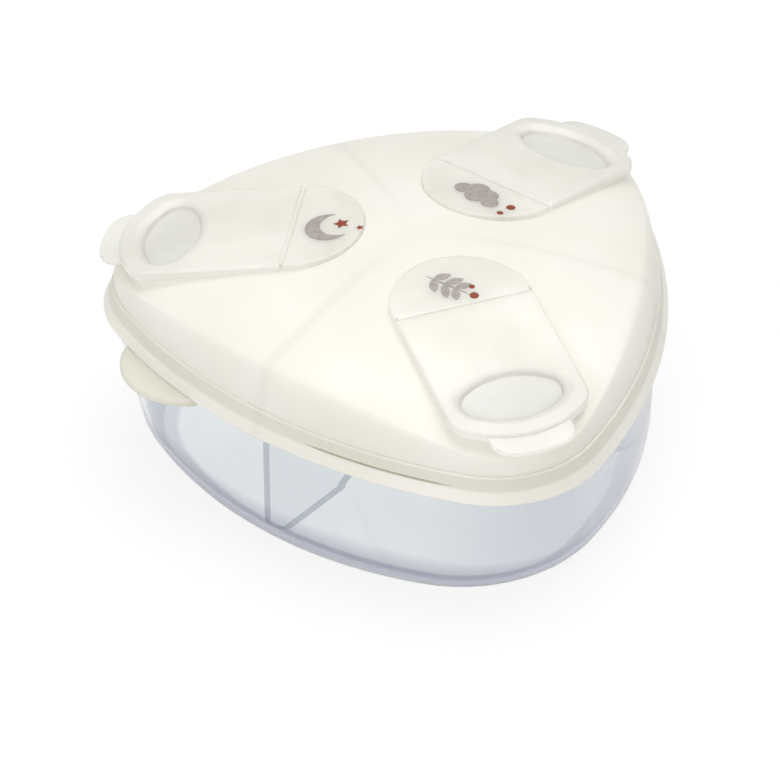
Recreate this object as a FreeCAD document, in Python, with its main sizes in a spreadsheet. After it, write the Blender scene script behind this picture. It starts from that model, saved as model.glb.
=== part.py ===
import FreeCAD, Part
import math
import os
import Sketcher
from FreeCAD import Placement, Rotation, Vector

# Three-compartment milk powder container: clear bowl, winged divider, domed lid and three flip caps.
# Millimetres, +Z up. The origin is the centre of the bowl's flat underside, and -Y is the front corner.

DRIVING_SIZES = {
    # Plan of the lid's rim: a rounded triangle of three corner arcs and three bowed sides
    "lid_corner": 75.0,          # centre to the rim at a corner
    "lid_side": 59.4,            # centre to the rim at the middle of a side
    "lid_round": 27.6,           # radius of a corner arc
    # Plan of the bowl's floor, before its edge is rounded
    "floor_corner": 64.7,
    "floor_side": 56.3,
    "floor_round": 37.8,
    # Bowl
    "bowl_inset": 2.3,           # bowl's rim inside the lid's rim
    "bowl_wall": 1.8,
    "bowl_height": 40.2,
    "collar_height": 6.2,        # collar under the rim, inside the lid
    "collar_lean": 1.3,          # how far the collar leans in
    "rim_wall": 1.2,             # bowl's wall where the collar ends
    "floor_edge_round": 9.4,
    # Lid
    "band_overlap": 5.1,         # band's lower edge below the bowl's rim
    "band_rise": 1.2,            # band's top edge above the bowl's rim
    "band_taper": 2.1,           # how far the band leans in from bottom to top
    "lid_wall": 1.6,
    "dome_rise": 20.0,           # dome's crown above the bowl's rim
    "dome_radius": 179.0,
    "shoulder_width": 7.0,       # shoulder in plan, a quarter ellipse from the band in
    "shoulder_over": 0.813,      # ellipse's top above the dome, at the middle of a side
    "shoulder_blend": 2.4,
    "rim_gap": 0.3,              # bowl's rim to the lid, outside, inside and above
    "seal_lip_wall": 1.2,
    "seal_lip_reach": 3.0,       # how deep the inner lip goes into the bowl
    "tab_radius": 16.2,          # thumb tab: a disc centred inside the rim
    "tab_place": 55.6,
    "tab_angle": 176.0,
    "tab_thickness": 2.2,
    "tab_edge_round": 0.8,
    "slot_level": 2.3,           # moulding slot above the band's lower edge
    "slot_height": 0.7,
    "slot_depth": 1.5,
    "slot_start": 222.0,
    "slot_end": 247.0,
    # Divider
    "wing_thickness": 1.8,
    "hub_radius": 3.4,
    "divider_gap": 0.4,
    # Flip caps: the crease is the hinge line between a cap's anchor and its flap
    "crease_radius": 29.3,
    "crease_lift": 1.214,        # crease above the dome
    "cap_half_width": 17.0,
    "anchor_tilt": 5.4,
    "anchor_thickness": 1.4,
    "anchor_edge_round": 0.4,
    "anchor_gap": 0.15,
    "peg_radius": 1.5,
    "peg_length": 2.6,
    "peg_spread": 8.0,
    "hinge_half_gap": 0.4,       # crease to the anchor, and to the flap
    "hinge_film": 0.35,
    "hinge_drop": 0.2,           # cap's top face to the middle of the film
    "hinge_seam": 0.08,
    "hinge_end_gap": 1.0,
    "flap_tilt": 9.9,
    "flap_length": 42.0,
    "flap_top": 1.3,
    "flap_end_radius": 24.2,
    "flap_corner_round": 6.0,
    "flap_edge_round": 0.7,
    "skirt_depth": 2.2,
    "skirt_wall": 1.1,
    "dome_gap": 0.4,             # flap's skirt to the lid's dome
    "lip_reach": 5.0,            # thumb lip beyond the flap's end
    "lip_root": 2.7,
    "lip_half_width": 10.0,
    "lip_round": 5.0,
    "lip_drop": 1.0,             # flap's top face to the lip's
    "lip_thickness": 1.2,
    # Platform on the lid under a flap, out of which the pouring neck stands
    "platform_inset": 1.2,       # inside the flap's outline
    "platform_gap": 0.3,         # below the flap's skirt
    "platform_height": 9.0,
    # Pouring neck and plug: ovals of two end arcs and two flatter arcs
    "neck_place": 29.6,          # crease to the neck's axis, along the flap
    "neck_half_length": 14.6,    # outside, across the flap
    "neck_half_width": 9.2,      # outside, along the flap
    "neck_end_round": 6.6,
    "neck_wall": 1.3,
    "neck_root": 15.0,
    "neck_top_gap": 0.3,
    "plug_gap": 0.25,
    "plug_wall": 1.0,
    "plug_depth": 3.9,
    "plug_floor": 1.1,
    "recess_depth": 2.0,
    "recess_draft": 0.2,
    "recess_flare": 2.2,
    "recess_flare_depth": 0.9,
}

CORNERS = {"front": -90.0, "right": 30.0, "left": 150.0}
ALONG_Y = Vector(0, 1, 0)
ALONG_Z = Vector(0, 0, 1)
ORIGIN, START, END, CENTRE = -1, 1, 2, 3     # sketch's own origin, and the points of a piece of geometry
ROOM = 30.0                                  # how far a cutting tool reaches past what it cuts
SPARE = 1.0                                  # the same where little room is needed

doc = FreeCAD.newDocument("milk_powder_container")
sizes = doc.addObject("Spreadsheet::Sheet", "sizes")
for row, (alias, number) in enumerate(DRIVING_SIZES.items(), start=1):
    sizes.set(f"A{row}", alias)
    sizes.set(f"B{row}", str(number))
    sizes.setAlias(f"B{row}", alias)
doc.recompute()


def value(words):
    """Number that an expression of the sheet's aliases stands for."""
    return float(sizes.evalExpression(words.replace("sizes.", "")))


def bind(thing, **expressions):
    """Tie properties of an object to the sheet; a double underscore stands for a dot."""
    for name, words in expressions.items():
        thing.setExpression(name.replace("__", "."), words)
    return thing


def new_body(name):
    return doc.addObject("PartDesign::Body", name)


def new_sketch(body, name, plane="XY_Plane", x="0", z="0"):
    """Sketch on one of the body's own origin planes, moved along the body's x and z."""
    sketch = body.newObject("Sketcher::SketchObject", name)
    support = [item for item in body.Origin.OriginFeatures if item.Role == plane][0]
    sketch.AttachmentSupport = [(support, "")]
    sketch.MapMode = "FlatFace"
    if plane == "XY_Plane":
        bind(sketch, AttachmentOffset__Base__x=x, AttachmentOffset__Base__z=z)
    return sketch


def tie(kind, *where):
    """Rule of a sketch without a size."""
    return Sketcher.Constraint(kind, *where), None


def measure(kind, *where, words):
    """Dimension of a sketch, tied to the sheet."""
    return Sketcher.Constraint(kind, *where, value(words)), words


def constrain(sketch, rules):
    """Add all of a sketch's rules at once, so that its pieces stay where they were drawn."""
    sketch.addConstraint([constraint for constraint, words in rules])
    for index, (constraint, words) in enumerate(rules):
        if words:
            sketch.setExpression(f"Constraints[{index}]", words)
    return sketch


def arc(sketch, centre, radius, first, last):
    """Arc in a sketch between two angles in degrees, counter-clockwise."""
    circle = Part.Circle(Vector(centre[0], centre[1], 0), ALONG_Z, radius)
    return sketch.addGeometry(Part.ArcOfCircle(circle, math.radians(first), math.radians(last)), False)


def chain(pieces):
    """Rules that join pieces end to start, each smoothly into the next, in a closed loop."""
    pairs = zip(pieces, pieces[1:] + pieces[:1])
    return [tie("Tangent", piece, END, following, START) for piece, following in pairs]


def triangle_sketch(body, name, plan, inset="0", level="0"):
    """Rounded triangle with bowed sides. plan is its corner, side and round, and inset is square to it."""
    sketch = new_sketch(body, name, z=level)
    corner, side, rounding = plan
    reach = f"({corner} - {rounding})"
    bow = (f"(({side} ^ 2 + {reach} ^ 2 - {side} * {reach} - {rounding} ^ 2)"
           f" / (2 * {side} - 2 * {rounding} - {reach}))")
    corner_radius = f"{rounding} - ({inset})"
    bow_radius = f"{bow} - ({inset})"
    shift = value(f"{bow} - {side}")
    across = math.atan2(value(reach) * math.sin(math.radians(120)),
                        value(reach) * math.cos(math.radians(120)) - shift)
    half = math.degrees(across) - 120
    loop = []
    for angle in CORNERS.values():
        turn = math.radians(angle)
        centre = (value(reach) * math.cos(turn), value(reach) * math.sin(turn))
        loop.append(arc(sketch, centre, value(corner_radius), angle - half, angle + half))
        far = math.radians(angle + 240)
        bow_centre = (shift * math.cos(far), shift * math.sin(far))
        loop.append(arc(sketch, bow_centre, value(bow_radius), angle + half, angle + 120 - half))
    front, right, left = loop[0], loop[2], loop[4]
    rules = chain(loop) + [
        tie("PointOnObject", front, CENTRE, -2),
        measure("DistanceY", front, CENTRE, ORIGIN, START, words=reach),
        measure("DistanceX", ORIGIN, START, right, CENTRE, words=f"{reach} * cos(30)"),
        measure("DistanceY", ORIGIN, START, right, CENTRE, words=f"{reach} * sin(30)"),
        measure("DistanceX", left, CENTRE, ORIGIN, START, words=f"{reach} * cos(30)"),
        measure("DistanceY", ORIGIN, START, left, CENTRE, words=f"{reach} * sin(30)"),
    ]
    rules += [measure("Radius", piece, words=corner_radius) for piece in loop[0::2]]
    rules += [measure("Radius", piece, words=bow_radius) for piece in loop[1::2]]
    return constrain(sketch, rules)


def oval_sketch(body, name, inset="0", level="0"):
    """Oval of the pouring neck, long across the flap, at the neck's place. inset is square to the neck."""
    sketch = new_sketch(body, name, x="sizes.neck_place", z=level)
    length, width, rounding = "sizes.neck_half_length", "sizes.neck_half_width", "sizes.neck_end_round"
    reach = f"({length} - {rounding})"
    flat = f"(({reach} ^ 2 + {width} ^ 2 - {rounding} ^ 2) / (2 * ({width} - {rounding})))"
    end_radius = f"{rounding} - ({inset})"
    flat_radius = f"{flat} - ({inset})"
    shift = value(f"{flat} - {width}")
    half = 90 - math.degrees(math.atan2(value(reach), shift))
    loop = [
        arc(sketch, (-shift, 0), value(flat_radius), half - 90, 90 - half),
        arc(sketch, (0, value(reach)), value(end_radius), 90 - half, 90 + half),
        arc(sketch, (shift, 0), value(flat_radius), 90 + half, 270 - half),
        arc(sketch, (0, -value(reach)), value(end_radius), 270 - half, 270 + half),
    ]
    rules = chain(loop)
    for piece, ends in ((loop[1], (ORIGIN, START, loop[1], CENTRE)),
                        (loop[3], (loop[3], CENTRE, ORIGIN, START))):
        rules.append(tie("PointOnObject", piece, CENTRE, -2))
        rules.append(measure("DistanceY", *ends, words=reach))
        rules.append(measure("Radius", piece, words=end_radius))
    rules += [measure("Radius", piece, words=flat_radius) for piece in (loop[0], loop[2])]
    return constrain(sketch, rules)


def tongue_sketch(body, name, start, half_width, tip, rounding, inset="0", level="0"):
    """Flap-like outline: square at its start, straight sides, round corners and a bowed end."""
    sketch = new_sketch(body, name, z=level)
    bow = "sizes.flap_end_radius"
    end = value(f"{tip} - {bow}")
    side = value(f"{half_width} - ({inset})")
    round_up = value(f"{half_width} - {rounding}")
    round_out = end + math.sqrt(value(f"{bow} - {rounding}") ** 2 - round_up ** 2)
    turn = math.degrees(math.atan2(round_up, round_out - end))
    first = value(f"{start} + ({inset})")
    end_arc = arc(sketch, (end, 0), value(f"{bow} - ({inset})"), -turn, turn)
    upper_arc = arc(sketch, (round_out, round_up), value(f"{rounding} - ({inset})"), turn, 90)
    upper = sketch.addGeometry(Part.LineSegment(Vector(round_out, side, 0), Vector(first, side, 0)), False)
    back = sketch.addGeometry(Part.LineSegment(Vector(first, side, 0), Vector(first, -side, 0)), False)
    lower = sketch.addGeometry(Part.LineSegment(Vector(first, -side, 0), Vector(round_out, -side, 0)), False)
    lower_arc = arc(sketch, (round_out, -round_up), value(f"{rounding} - ({inset})"), -90, -turn)
    smooth = ((lower, lower_arc), (lower_arc, end_arc), (end_arc, upper_arc), (upper_arc, upper))
    rules = [tie("Tangent", piece, END, following, START) for piece, following in smooth]
    rules += [
        tie("Coincident", upper, END, back, START),
        tie("Coincident", back, END, lower, START),
        tie("Vertical", back),
        measure("DistanceX", ORIGIN, START, back, START, words=f"{start} + ({inset})"),
        measure("DistanceY", ORIGIN, START, back, START, words=f"{half_width} - ({inset})"),
        measure("DistanceY", back, END, ORIGIN, START, words=f"{half_width} - ({inset})"),
        tie("Horizontal", upper),
        tie("Horizontal", lower),
        measure("Radius", upper_arc, words=f"{rounding} - ({inset})"),
        measure("Radius", lower_arc, words=f"{rounding} - ({inset})"),
        measure("Radius", end_arc, words=f"{bow} - ({inset})"),
        tie("PointOnObject", end_arc, CENTRE, ORIGIN),
        measure("DistanceX", ORIGIN, START, end_arc, CENTRE, words=f"{tip} - {bow}"),
    ]
    return constrain(sketch, rules)


def half_disc_sketch(body, name, start, radius, level="0"):
    """Half disc about the crease, on the anchor's side, with its straight edge at -start."""
    sketch = new_sketch(body, name, z=level)
    half = math.degrees(math.acos(value(start) / value(radius)))
    bow = arc(sketch, (0, 0), value(radius), 180 - half, 180 + half)
    side = value(radius) * math.sin(math.radians(half))
    ends = (Vector(-value(start), -side, 0), Vector(-value(start), side, 0))
    edge = sketch.addGeometry(Part.LineSegment(*ends), False)
    return constrain(sketch, [
        tie("Coincident", bow, END, edge, START),
        tie("Coincident", edge, END, bow, START),
        tie("Coincident", bow, CENTRE, ORIGIN, START),
        tie("Vertical", edge),
        measure("DistanceX", edge, START, ORIGIN, START, words=start),
        measure("Radius", bow, words=radius),
    ])


def circle_sketch(body, name, radius, level="0"):
    """Circle about the body's own axis."""
    sketch = new_sketch(body, name, z=level)
    ring = sketch.addGeometry(Part.Circle(Vector(0, 0, 0), ALONG_Z, value(radius)), False)
    return constrain(sketch, [
        tie("Coincident", ring, CENTRE, ORIGIN, START),
        measure("Radius", ring, words=radius),
    ])


def loft(body, name, sketches, ruled=True, remove=False):
    kind = "PartDesign::SubtractiveLoft" if remove else "PartDesign::AdditiveLoft"
    feature = body.newObject(kind, name)
    feature.Profile = sketches[0]
    feature.Sections = sketches[1:]
    feature.Ruled = ruled
    body.Tip = feature
    return feature


def pad(body, name, sketch, length, down=False):
    feature = body.newObject("PartDesign::Pad", name)
    feature.Profile = sketch
    feature.Reversed = down
    body.Tip = feature
    return bind(feature, Length=length)


def pocket(body, name, sketch, length, up=False):
    """Pocket that cuts down from its sketch, or up where told, and has to take something away."""
    doc.recompute()
    before = body.Shape.Volume
    feature = body.newObject("PartDesign::Pocket", name)
    feature.Profile = sketch
    feature.Reversed = up
    body.Tip = feature
    bind(feature, Length=length)
    doc.recompute()
    if body.Shape.Volume > before - 0.01:
        raise RuntimeError(f"{name} takes nothing away")
    return feature


def edges_at(shape, level, tolerance=0.01):
    """Names of the edges that lie wholly at one height."""
    return [f"Edge{number}" for number, edge in enumerate(shape.Edges, start=1)
            if abs(edge.BoundBox.ZMin - level) < tolerance and abs(edge.BoundBox.ZMax - level) < tolerance]


def dome_edges(shape, radius):
    """Names of the edges between the dome and the shoulder, apart from the dome's own seam."""
    centre = Vector(0, 0, value(DOME_CENTRE))
    names = []
    for number, edge in enumerate(shape.Edges, start=1):
        middle = edge.valueAt((edge.FirstParameter + edge.LastParameter) / 2)
        points = [vertex.Point for vertex in edge.Vertexes] + [middle]
        on_dome = all(abs((point - centre).Length - radius) < 0.01 for point in points)
        if on_dome and min(math.hypot(point.x, point.y) for point in points) > value("sizes.crease_radius"):
            names.append(f"Edge{number}")
    return names


def fillet(body, name, edges, radius):
    """Round edges of the body as it stands."""
    if not edges:
        raise RuntimeError(f"{name} has no edge to round")
    base = body.Tip
    feature = body.newObject("PartDesign::Fillet", name)
    feature.Base = (base, edges)
    body.Tip = feature
    return bind(feature, Radius=radius)


def boolean(kind, name, base, tool):
    feature = doc.addObject(kind, name)
    feature.Base = base
    feature.Tool = tool
    return feature


def joined(name, pieces):
    feature = doc.addObject("Part::MultiFuse", name)
    feature.Shapes = pieces
    feature.Refine = False
    return feature


def at_cap(name, source, side, tilt):
    """Copy of a piece from the cap's own frame: origin on the crease, +X out along the flap, +Z its top."""
    doc.recompute()
    turn = Rotation(ALONG_Z, CORNERS[side])
    crease = turn.multVec(Vector(value("sizes.crease_radius"), 0, value(CREASE_LEVEL)))
    copy = doc.addObject("Part::Feature", name)
    copy.Shape = source.Shape.copy()
    cap_frame = Placement(crease, turn.multiply(Rotation(ALONG_Y, value(tilt))))
    copy.Placement = cap_frame.multiply(source.Placement)
    return copy


DOME_TOP = "(sizes.bowl_height + sizes.dome_rise)"
DOME_CENTRE = f"({DOME_TOP} - sizes.dome_radius)"
BAND_BOTTOM = "(sizes.bowl_height - sizes.band_overlap)"
BAND_TOP = "(sizes.bowl_height + sizes.band_rise)"
SHOULDER_RISE = (f"({DOME_CENTRE} + sqrt(sizes.dome_radius ^ 2 - (sizes.lid_side - sizes.band_taper"
                 f" - sizes.shoulder_width) ^ 2) + sizes.shoulder_over - {BAND_TOP})")
CREASE_LEVEL = (f"({DOME_CENTRE} + sqrt(sizes.dome_radius ^ 2 - sizes.crease_radius ^ 2)"
                f" + sizes.crease_lift)")
LID_PLAN = ("sizes.lid_corner", "sizes.lid_side", "sizes.lid_round")
WAIST_LEVEL = "(sizes.bowl_height - sizes.collar_height)"
RIM_INSET = "(sizes.bowl_inset + sizes.collar_lean)"
ROUND_STEPS = (0, 15, 35, 55, 75, 90)        # degrees round a quarter circle


def wall_plan(level):
    """Plan of the bowl's outside at a level between the floor and the foot of the collar."""
    share = f"({level}) / {WAIST_LEVEL}"
    floor = ("sizes.floor_corner", "sizes.floor_side", "sizes.floor_round")
    waist = ("sizes.lid_corner - sizes.bowl_inset", "sizes.lid_side - sizes.bowl_inset",
             "sizes.lid_round - sizes.bowl_inset")
    return tuple(f"({low} + ({high} - {low}) * {share})" for low, high in zip(floor, waist))


def cup(name, inset, floor, rim):
    """Bowl's shape, moved in by inset, and by rim at its top, with its floor at the level given."""
    body = new_body(name)
    rounding = f"(sizes.floor_edge_round - {inset})"
    foot = []
    for step in ROUND_STEPS:
        level = f"({floor} + {rounding} * (1 - cos({step})))"
        moved_in = f"({inset} + {rounding} * (1 - sin({step})))"
        foot.append(triangle_sketch(body, f"{name}_foot_{step}", wall_plan(level), moved_in, level))
    loft(body, f"{name}_foot", foot, ruled=False)
    low_level = f"({floor} + {rounding})"
    low = triangle_sketch(body, f"{name}_low", wall_plan(low_level), inset, low_level)
    waist = triangle_sketch(body, f"{name}_waist", wall_plan(WAIST_LEVEL), inset, WAIST_LEVEL)
    loft(body, f"{name}_wall", [low, waist])
    foot_inset = f"sizes.bowl_inset + {inset}"
    collar_foot = triangle_sketch(body, f"{name}_neck", LID_PLAN, foot_inset, WAIST_LEVEL)
    top = triangle_sketch(body, f"{name}_rim", LID_PLAN, f"{RIM_INSET} + {rim}", "sizes.bowl_height")
    loft(body, f"{name}_collar", [collar_foot, top])
    return body


# Bowl: a tapering cup with a round-edged floor and a collar that the lid fits over
bowl_outside = cup("bowl_outside", "0", "0", "0")
bowl_inside = cup("bowl_inside", "sizes.bowl_wall", "sizes.bowl_wall", "sizes.rim_wall")
bowl = boolean("Part::Cut", "bowl", bowl_outside, bowl_inside)
doc.recompute()

# Lid: a leaning band, a rounded shoulder and a dome, with three pouring necks
SHOULDER_STEPS = (0, 0.35, 0.6, 0.8, 0.92, 0.97)     # shares of the shoulder's rise


def dome_trim(body, name, radius, centre):
    """Take off all that lies outside a sphere about the vertical axis."""
    sketch = new_sketch(body, name, plane="XZ_Plane")
    ball, low = value(radius), value(centre)
    side = value("sizes.lid_corner") + ROOM
    top = low + ball + ROOM
    rim = low + math.sqrt(ball ** 2 - side ** 2)
    first = math.degrees(math.asin((rim - low) / ball))
    curve = arc(sketch, (0, low), ball, first, 90)
    corners = [Vector(0, low + ball, 0), Vector(0, top, 0), Vector(side, top, 0), Vector(side, rim, 0)]
    axis, roof, edge = [sketch.addGeometry(Part.LineSegment(first_end, last_end), False)
                        for first_end, last_end in zip(corners, corners[1:])]
    rules = [tie("Coincident", piece, END, following, START)
             for piece, following in ((curve, axis), (axis, roof), (roof, edge), (edge, curve))]
    rules += [
        tie("PointOnObject", curve, CENTRE, -2),
        tie("Vertical", axis),
        tie("Horizontal", roof),
        tie("Vertical", edge),
        measure("Radius", curve, words=radius),
        measure("DistanceY", curve, CENTRE, ORIGIN, START, words=f"-1 * ({centre})"),
        tie("PointOnObject", axis, START, -2),
        measure("DistanceY", axis, START, axis, END, words=str(ROOM)),
        measure("DistanceX", roof, START, roof, END, words=f"sizes.lid_corner + {ROOM}"),
    ]
    constrain(sketch, rules)
    doc.recompute()
    before = body.Shape.Volume
    groove = body.newObject("PartDesign::Groove", f"{name}_groove")
    groove.Profile = sketch
    groove.ReferenceAxis = (sketch, ["V_Axis"])
    groove.Angle = 360
    body.Tip = groove
    doc.recompute()
    if body.Shape.Volume > before - 0.01:
        raise RuntimeError(f"{name} takes nothing away")
    return groove


def shoulder(body, name, wall, start):
    """Shoulder's quarter ellipse moved in by wall, from its start level up."""
    layers = []
    for number, step in enumerate(SHOULDER_STEPS):
        level = f"{BAND_TOP} + {step} * {SHOULDER_RISE}" if number else start
        moved_in = f"sizes.band_taper + {wall} + sizes.shoulder_width * (1 - sqrt(1 - {step} ^ 2))"
        layers.append(triangle_sketch(body, f"{name}_{number}", LID_PLAN, moved_in, level))
    loft(body, name, layers, ruled=False)
    top = triangle_sketch(body, f"{name}_top", LID_PLAN, moved_in, level)
    return pad(body, f"{name}_rise", top, SHOULDER_RISE)


lid_block = new_body("lid_block")
band_low = triangle_sketch(lid_block, "band_low", LID_PLAN, "0", BAND_BOTTOM)
band_high = triangle_sketch(lid_block, "band_high", LID_PLAN, "sizes.band_taper", BAND_TOP)
loft(lid_block, "band", [band_low, band_high])
shoulder(lid_block, "shoulder", "0", BAND_TOP)
dome_trim(lid_block, "dome", "sizes.dome_radius", DOME_CENTRE)
fillet(lid_block, "shoulder_blend", dome_edges(lid_block.Shape, value("sizes.dome_radius")),
       "sizes.shoulder_blend")

rim_room = new_body("rim_room")
room_low = triangle_sketch(rim_room, "room_low", LID_PLAN, "sizes.bowl_inset - sizes.rim_gap", WAIST_LEVEL)
room_high = triangle_sketch(rim_room, "room_high", LID_PLAN,
                            "sizes.bowl_inset - sizes.rim_gap + sizes.collar_lean",
                            "sizes.bowl_height + sizes.rim_gap")
loft(rim_room, "room", [room_low, room_high])

dome_room = new_body("dome_room")
shoulder(dome_room, "ceiling", "sizes.lid_wall", "sizes.bowl_height")
dome_trim(dome_room, "ceiling_dome", "sizes.dome_radius - sizes.lid_wall", DOME_CENTRE)
fillet(dome_room, "ceiling_blend",
       dome_edges(dome_room.Shape, value("sizes.dome_radius - sizes.lid_wall")),
       "sizes.shoulder_blend")

# Lid's inner lip, which goes down inside the bowl's rim
LIP_INSET = f"({RIM_INSET} + sizes.rim_wall + sizes.rim_gap)"
LIP_LEVEL = "(sizes.bowl_height - sizes.seal_lip_reach)"
lip_ring = new_body("lip_ring")
lip_outer = triangle_sketch(lip_ring, "lip_outer", LID_PLAN, LIP_INSET, LIP_LEVEL)
lip_inner = triangle_sketch(lip_ring, "lip_inner", LID_PLAN, f"{LIP_INSET} + sizes.seal_lip_wall",
                            DOME_TOP)
pad(lip_ring, "lip_full", lip_outer, f"{DOME_TOP} - {LIP_LEVEL}")
pocket(lip_ring, "lip_hollow", lip_inner, f"{DOME_TOP} - {LIP_LEVEL} + {SPARE}")
seal_lip = boolean("Part::Common", "seal_lip", lip_ring, lid_block)

# Thumb tab, flush with the band's lower edge
thumb_tab = new_body("thumb_tab")
tab_disc = circle_sketch(thumb_tab, "tab_disc", "sizes.tab_radius", BAND_BOTTOM)
pad(thumb_tab, "tab", tab_disc, "sizes.tab_thickness")
doc.recompute()
tab_edges = edges_at(thumb_tab.Shape, value(f"{BAND_BOTTOM} + sizes.tab_thickness"))
fillet(thumb_tab, "tab_round", tab_edges, "sizes.tab_edge_round")
bind(thumb_tab, Placement__Base__x="sizes.tab_place * cos(sizes.tab_angle)",
     Placement__Base__y="sizes.tab_place * sin(sizes.tab_angle)")

# Platform under a flap, hollow from below, in the cap's own frame
FLAP = ("sizes.hinge_half_gap", "sizes.cap_half_width", "sizes.flap_length", "sizes.flap_corner_round")
PLATFORM_TOP = "(-1 * (sizes.skirt_depth + sizes.platform_gap))"
platform = new_body("platform")
platform_outline = tongue_sketch(platform, "platform_outline", *FLAP, inset="sizes.platform_inset",
                                 level=PLATFORM_TOP)
pad(platform, "platform_block", platform_outline, "sizes.platform_height", down=True)
platform_room = new_body("platform_room")
room_outline = tongue_sketch(platform_room, "room_outline", *FLAP,
                             inset="(sizes.platform_inset + sizes.lid_wall)",
                             level=f"{PLATFORM_TOP} - sizes.lid_wall")
pad(platform_room, "room_block", room_outline, "sizes.platform_height", down=True)

# Pouring neck and its bore, in the cap's own frame
NECK_TOP = "(-1 * (sizes.flap_top + sizes.neck_top_gap))"
neck = new_body("neck")
neck_outline = oval_sketch(neck, "neck_outline", "0", NECK_TOP)
pad(neck, "neck_tube", neck_outline, "sizes.neck_root", down=True)
bore = new_body("bore")
bore_outline = oval_sketch(bore, "bore_outline", "sizes.neck_wall", f"{NECK_TOP} + {SPARE}")
pad(bore, "bore_hole", bore_outline, "sizes.neck_root * 2", down=True)

# Room for a cap's anchor and its pegs, in the anchor's own frame
seat = new_body("anchor_seat")
seat_outline = half_disc_sketch(seat, "seat_outline", "sizes.hinge_half_gap - sizes.anchor_gap",
                                "sizes.cap_half_width + sizes.anchor_gap", "-1 * sizes.anchor_thickness")
pad(seat, "seat_room", seat_outline, "sizes.anchor_thickness * 2")
doc.recompute()

# Lid put together, then opened from below, through the necks and under the caps
placed_platforms = [at_cap(f"platform_{side}", platform, side, "sizes.flap_tilt") for side in CORNERS]
placed_rooms = [at_cap(f"room_{side}", platform_room, side, "sizes.flap_tilt") for side in CORNERS]
placed_necks = [at_cap(f"neck_{side}", neck, side, "sizes.flap_tilt") for side in CORNERS]
placed_bores = [at_cap(f"bore_{side}", bore, side, "sizes.flap_tilt") for side in CORNERS]
placed_seats = [at_cap(f"seat_{side}", seat, side, "sizes.anchor_tilt") for side in CORNERS]

# Peg holes go through the seat's floor, one each side of the cap's middle
PEG_LEVEL = "(-1 * sizes.anchor_thickness - sizes.peg_length)"


def peg_pair(name, radius, level, height):
    """Two upright pins in the anchor's frame, one each side of its middle."""
    pins = []
    for mark, hand in (("a", "1"), ("b", "-1")):
        pin = doc.addObject("Part::Cylinder", f"{name}_{mark}")
        bind(pin, Radius=radius, Height=height, Placement__Base__x="-1 * sizes.peg_spread",
             Placement__Base__y=f"{hand} * sizes.peg_spread", Placement__Base__z=level)
        pins.append(pin)
    return joined(name, pins)


peg_holes = peg_pair("peg_holes", "sizes.peg_radius + sizes.anchor_gap", f"{PEG_LEVEL} - {SPARE}",
                     f"sizes.peg_length + sizes.anchor_thickness + {SPARE}")
placed_holes = [at_cap(f"holes_{side}", peg_holes, side, "sizes.anchor_tilt") for side in CORNERS]

# Moulding slot low in the band, over part of one side
slot_ring = new_body("slot_ring")
SLOT_FLOOR = f"({BAND_BOTTOM} + sizes.slot_level)"
slot_outer = triangle_sketch(slot_ring, "slot_outer", LID_PLAN, "-1 * sizes.slot_depth", SLOT_FLOOR)
slot_inner = triangle_sketch(slot_ring, "slot_inner", LID_PLAN, "sizes.slot_depth",
                             f"{SLOT_FLOOR} + sizes.slot_height + {SPARE}")
pad(slot_ring, "slot_full", slot_outer, "sizes.slot_height")
pocket(slot_ring, "slot_core", slot_inner, f"sizes.slot_height + 2 * {SPARE}")
slot_span = doc.addObject("Part::Cylinder", "slot_span")
bind(slot_span, Radius="sizes.lid_corner * 2", Height=BAND_TOP,
     Angle="sizes.slot_end - sizes.slot_start")
slot_span.Placement.Rotation = Rotation(ALONG_Z, value("sizes.slot_start"))
slot = boolean("Part::Common", "slot", slot_ring, slot_span)

lid_raised = joined("lid_raised", [lid_block, thumb_tab] + placed_platforms + placed_necks)
lid_vaulted = boolean("Part::Cut", "lid_vaulted", lid_raised, dome_room)
lid_opened = boolean("Part::Cut", "lid_opened", lid_vaulted, rim_room)
lid_lipped = joined("lid_lipped", [lid_opened, seal_lip])
lid_cuts = joined("lid_cuts", placed_rooms + placed_bores + placed_seats + placed_holes + [slot])
lid = boolean("Part::Cut", "lid", lid_lipped, lid_cuts)
doc.recompute()

# Divider: three wings on a hub, standing on the bowl's floor under the lid's ceiling
WINGS = {"front_right": -30.0, "back": 90.0, "front_left": 210.0}
THROAT_INSET = f"({RIM_INSET} + sizes.rim_wall + sizes.divider_gap)"
divider_limit = cup("divider_limit", "(sizes.bowl_wall + sizes.divider_gap)", "sizes.bowl_wall",
                    "sizes.rim_wall + sizes.divider_gap")
wings = []
for wing_name, wing_angle in WINGS.items():
    wing = doc.addObject("Part::Box", f"wing_{wing_name}")
    bind(wing, Length="sizes.lid_corner", Width="sizes.wing_thickness", Height=DOME_TOP,
         Placement__Base__x=f"sizes.wing_thickness / 2 * sin({wing_angle})",
         Placement__Base__y=f"-1 * sizes.wing_thickness / 2 * cos({wing_angle})")
    wing.Placement.Rotation = Rotation(ALONG_Z, wing_angle)
    wings.append(wing)
hub = doc.addObject("Part::Cylinder", "hub")
bind(hub, Radius="sizes.hub_radius", Height=DOME_TOP)
wings_full = joined("wings_full", wings + [hub])

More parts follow.
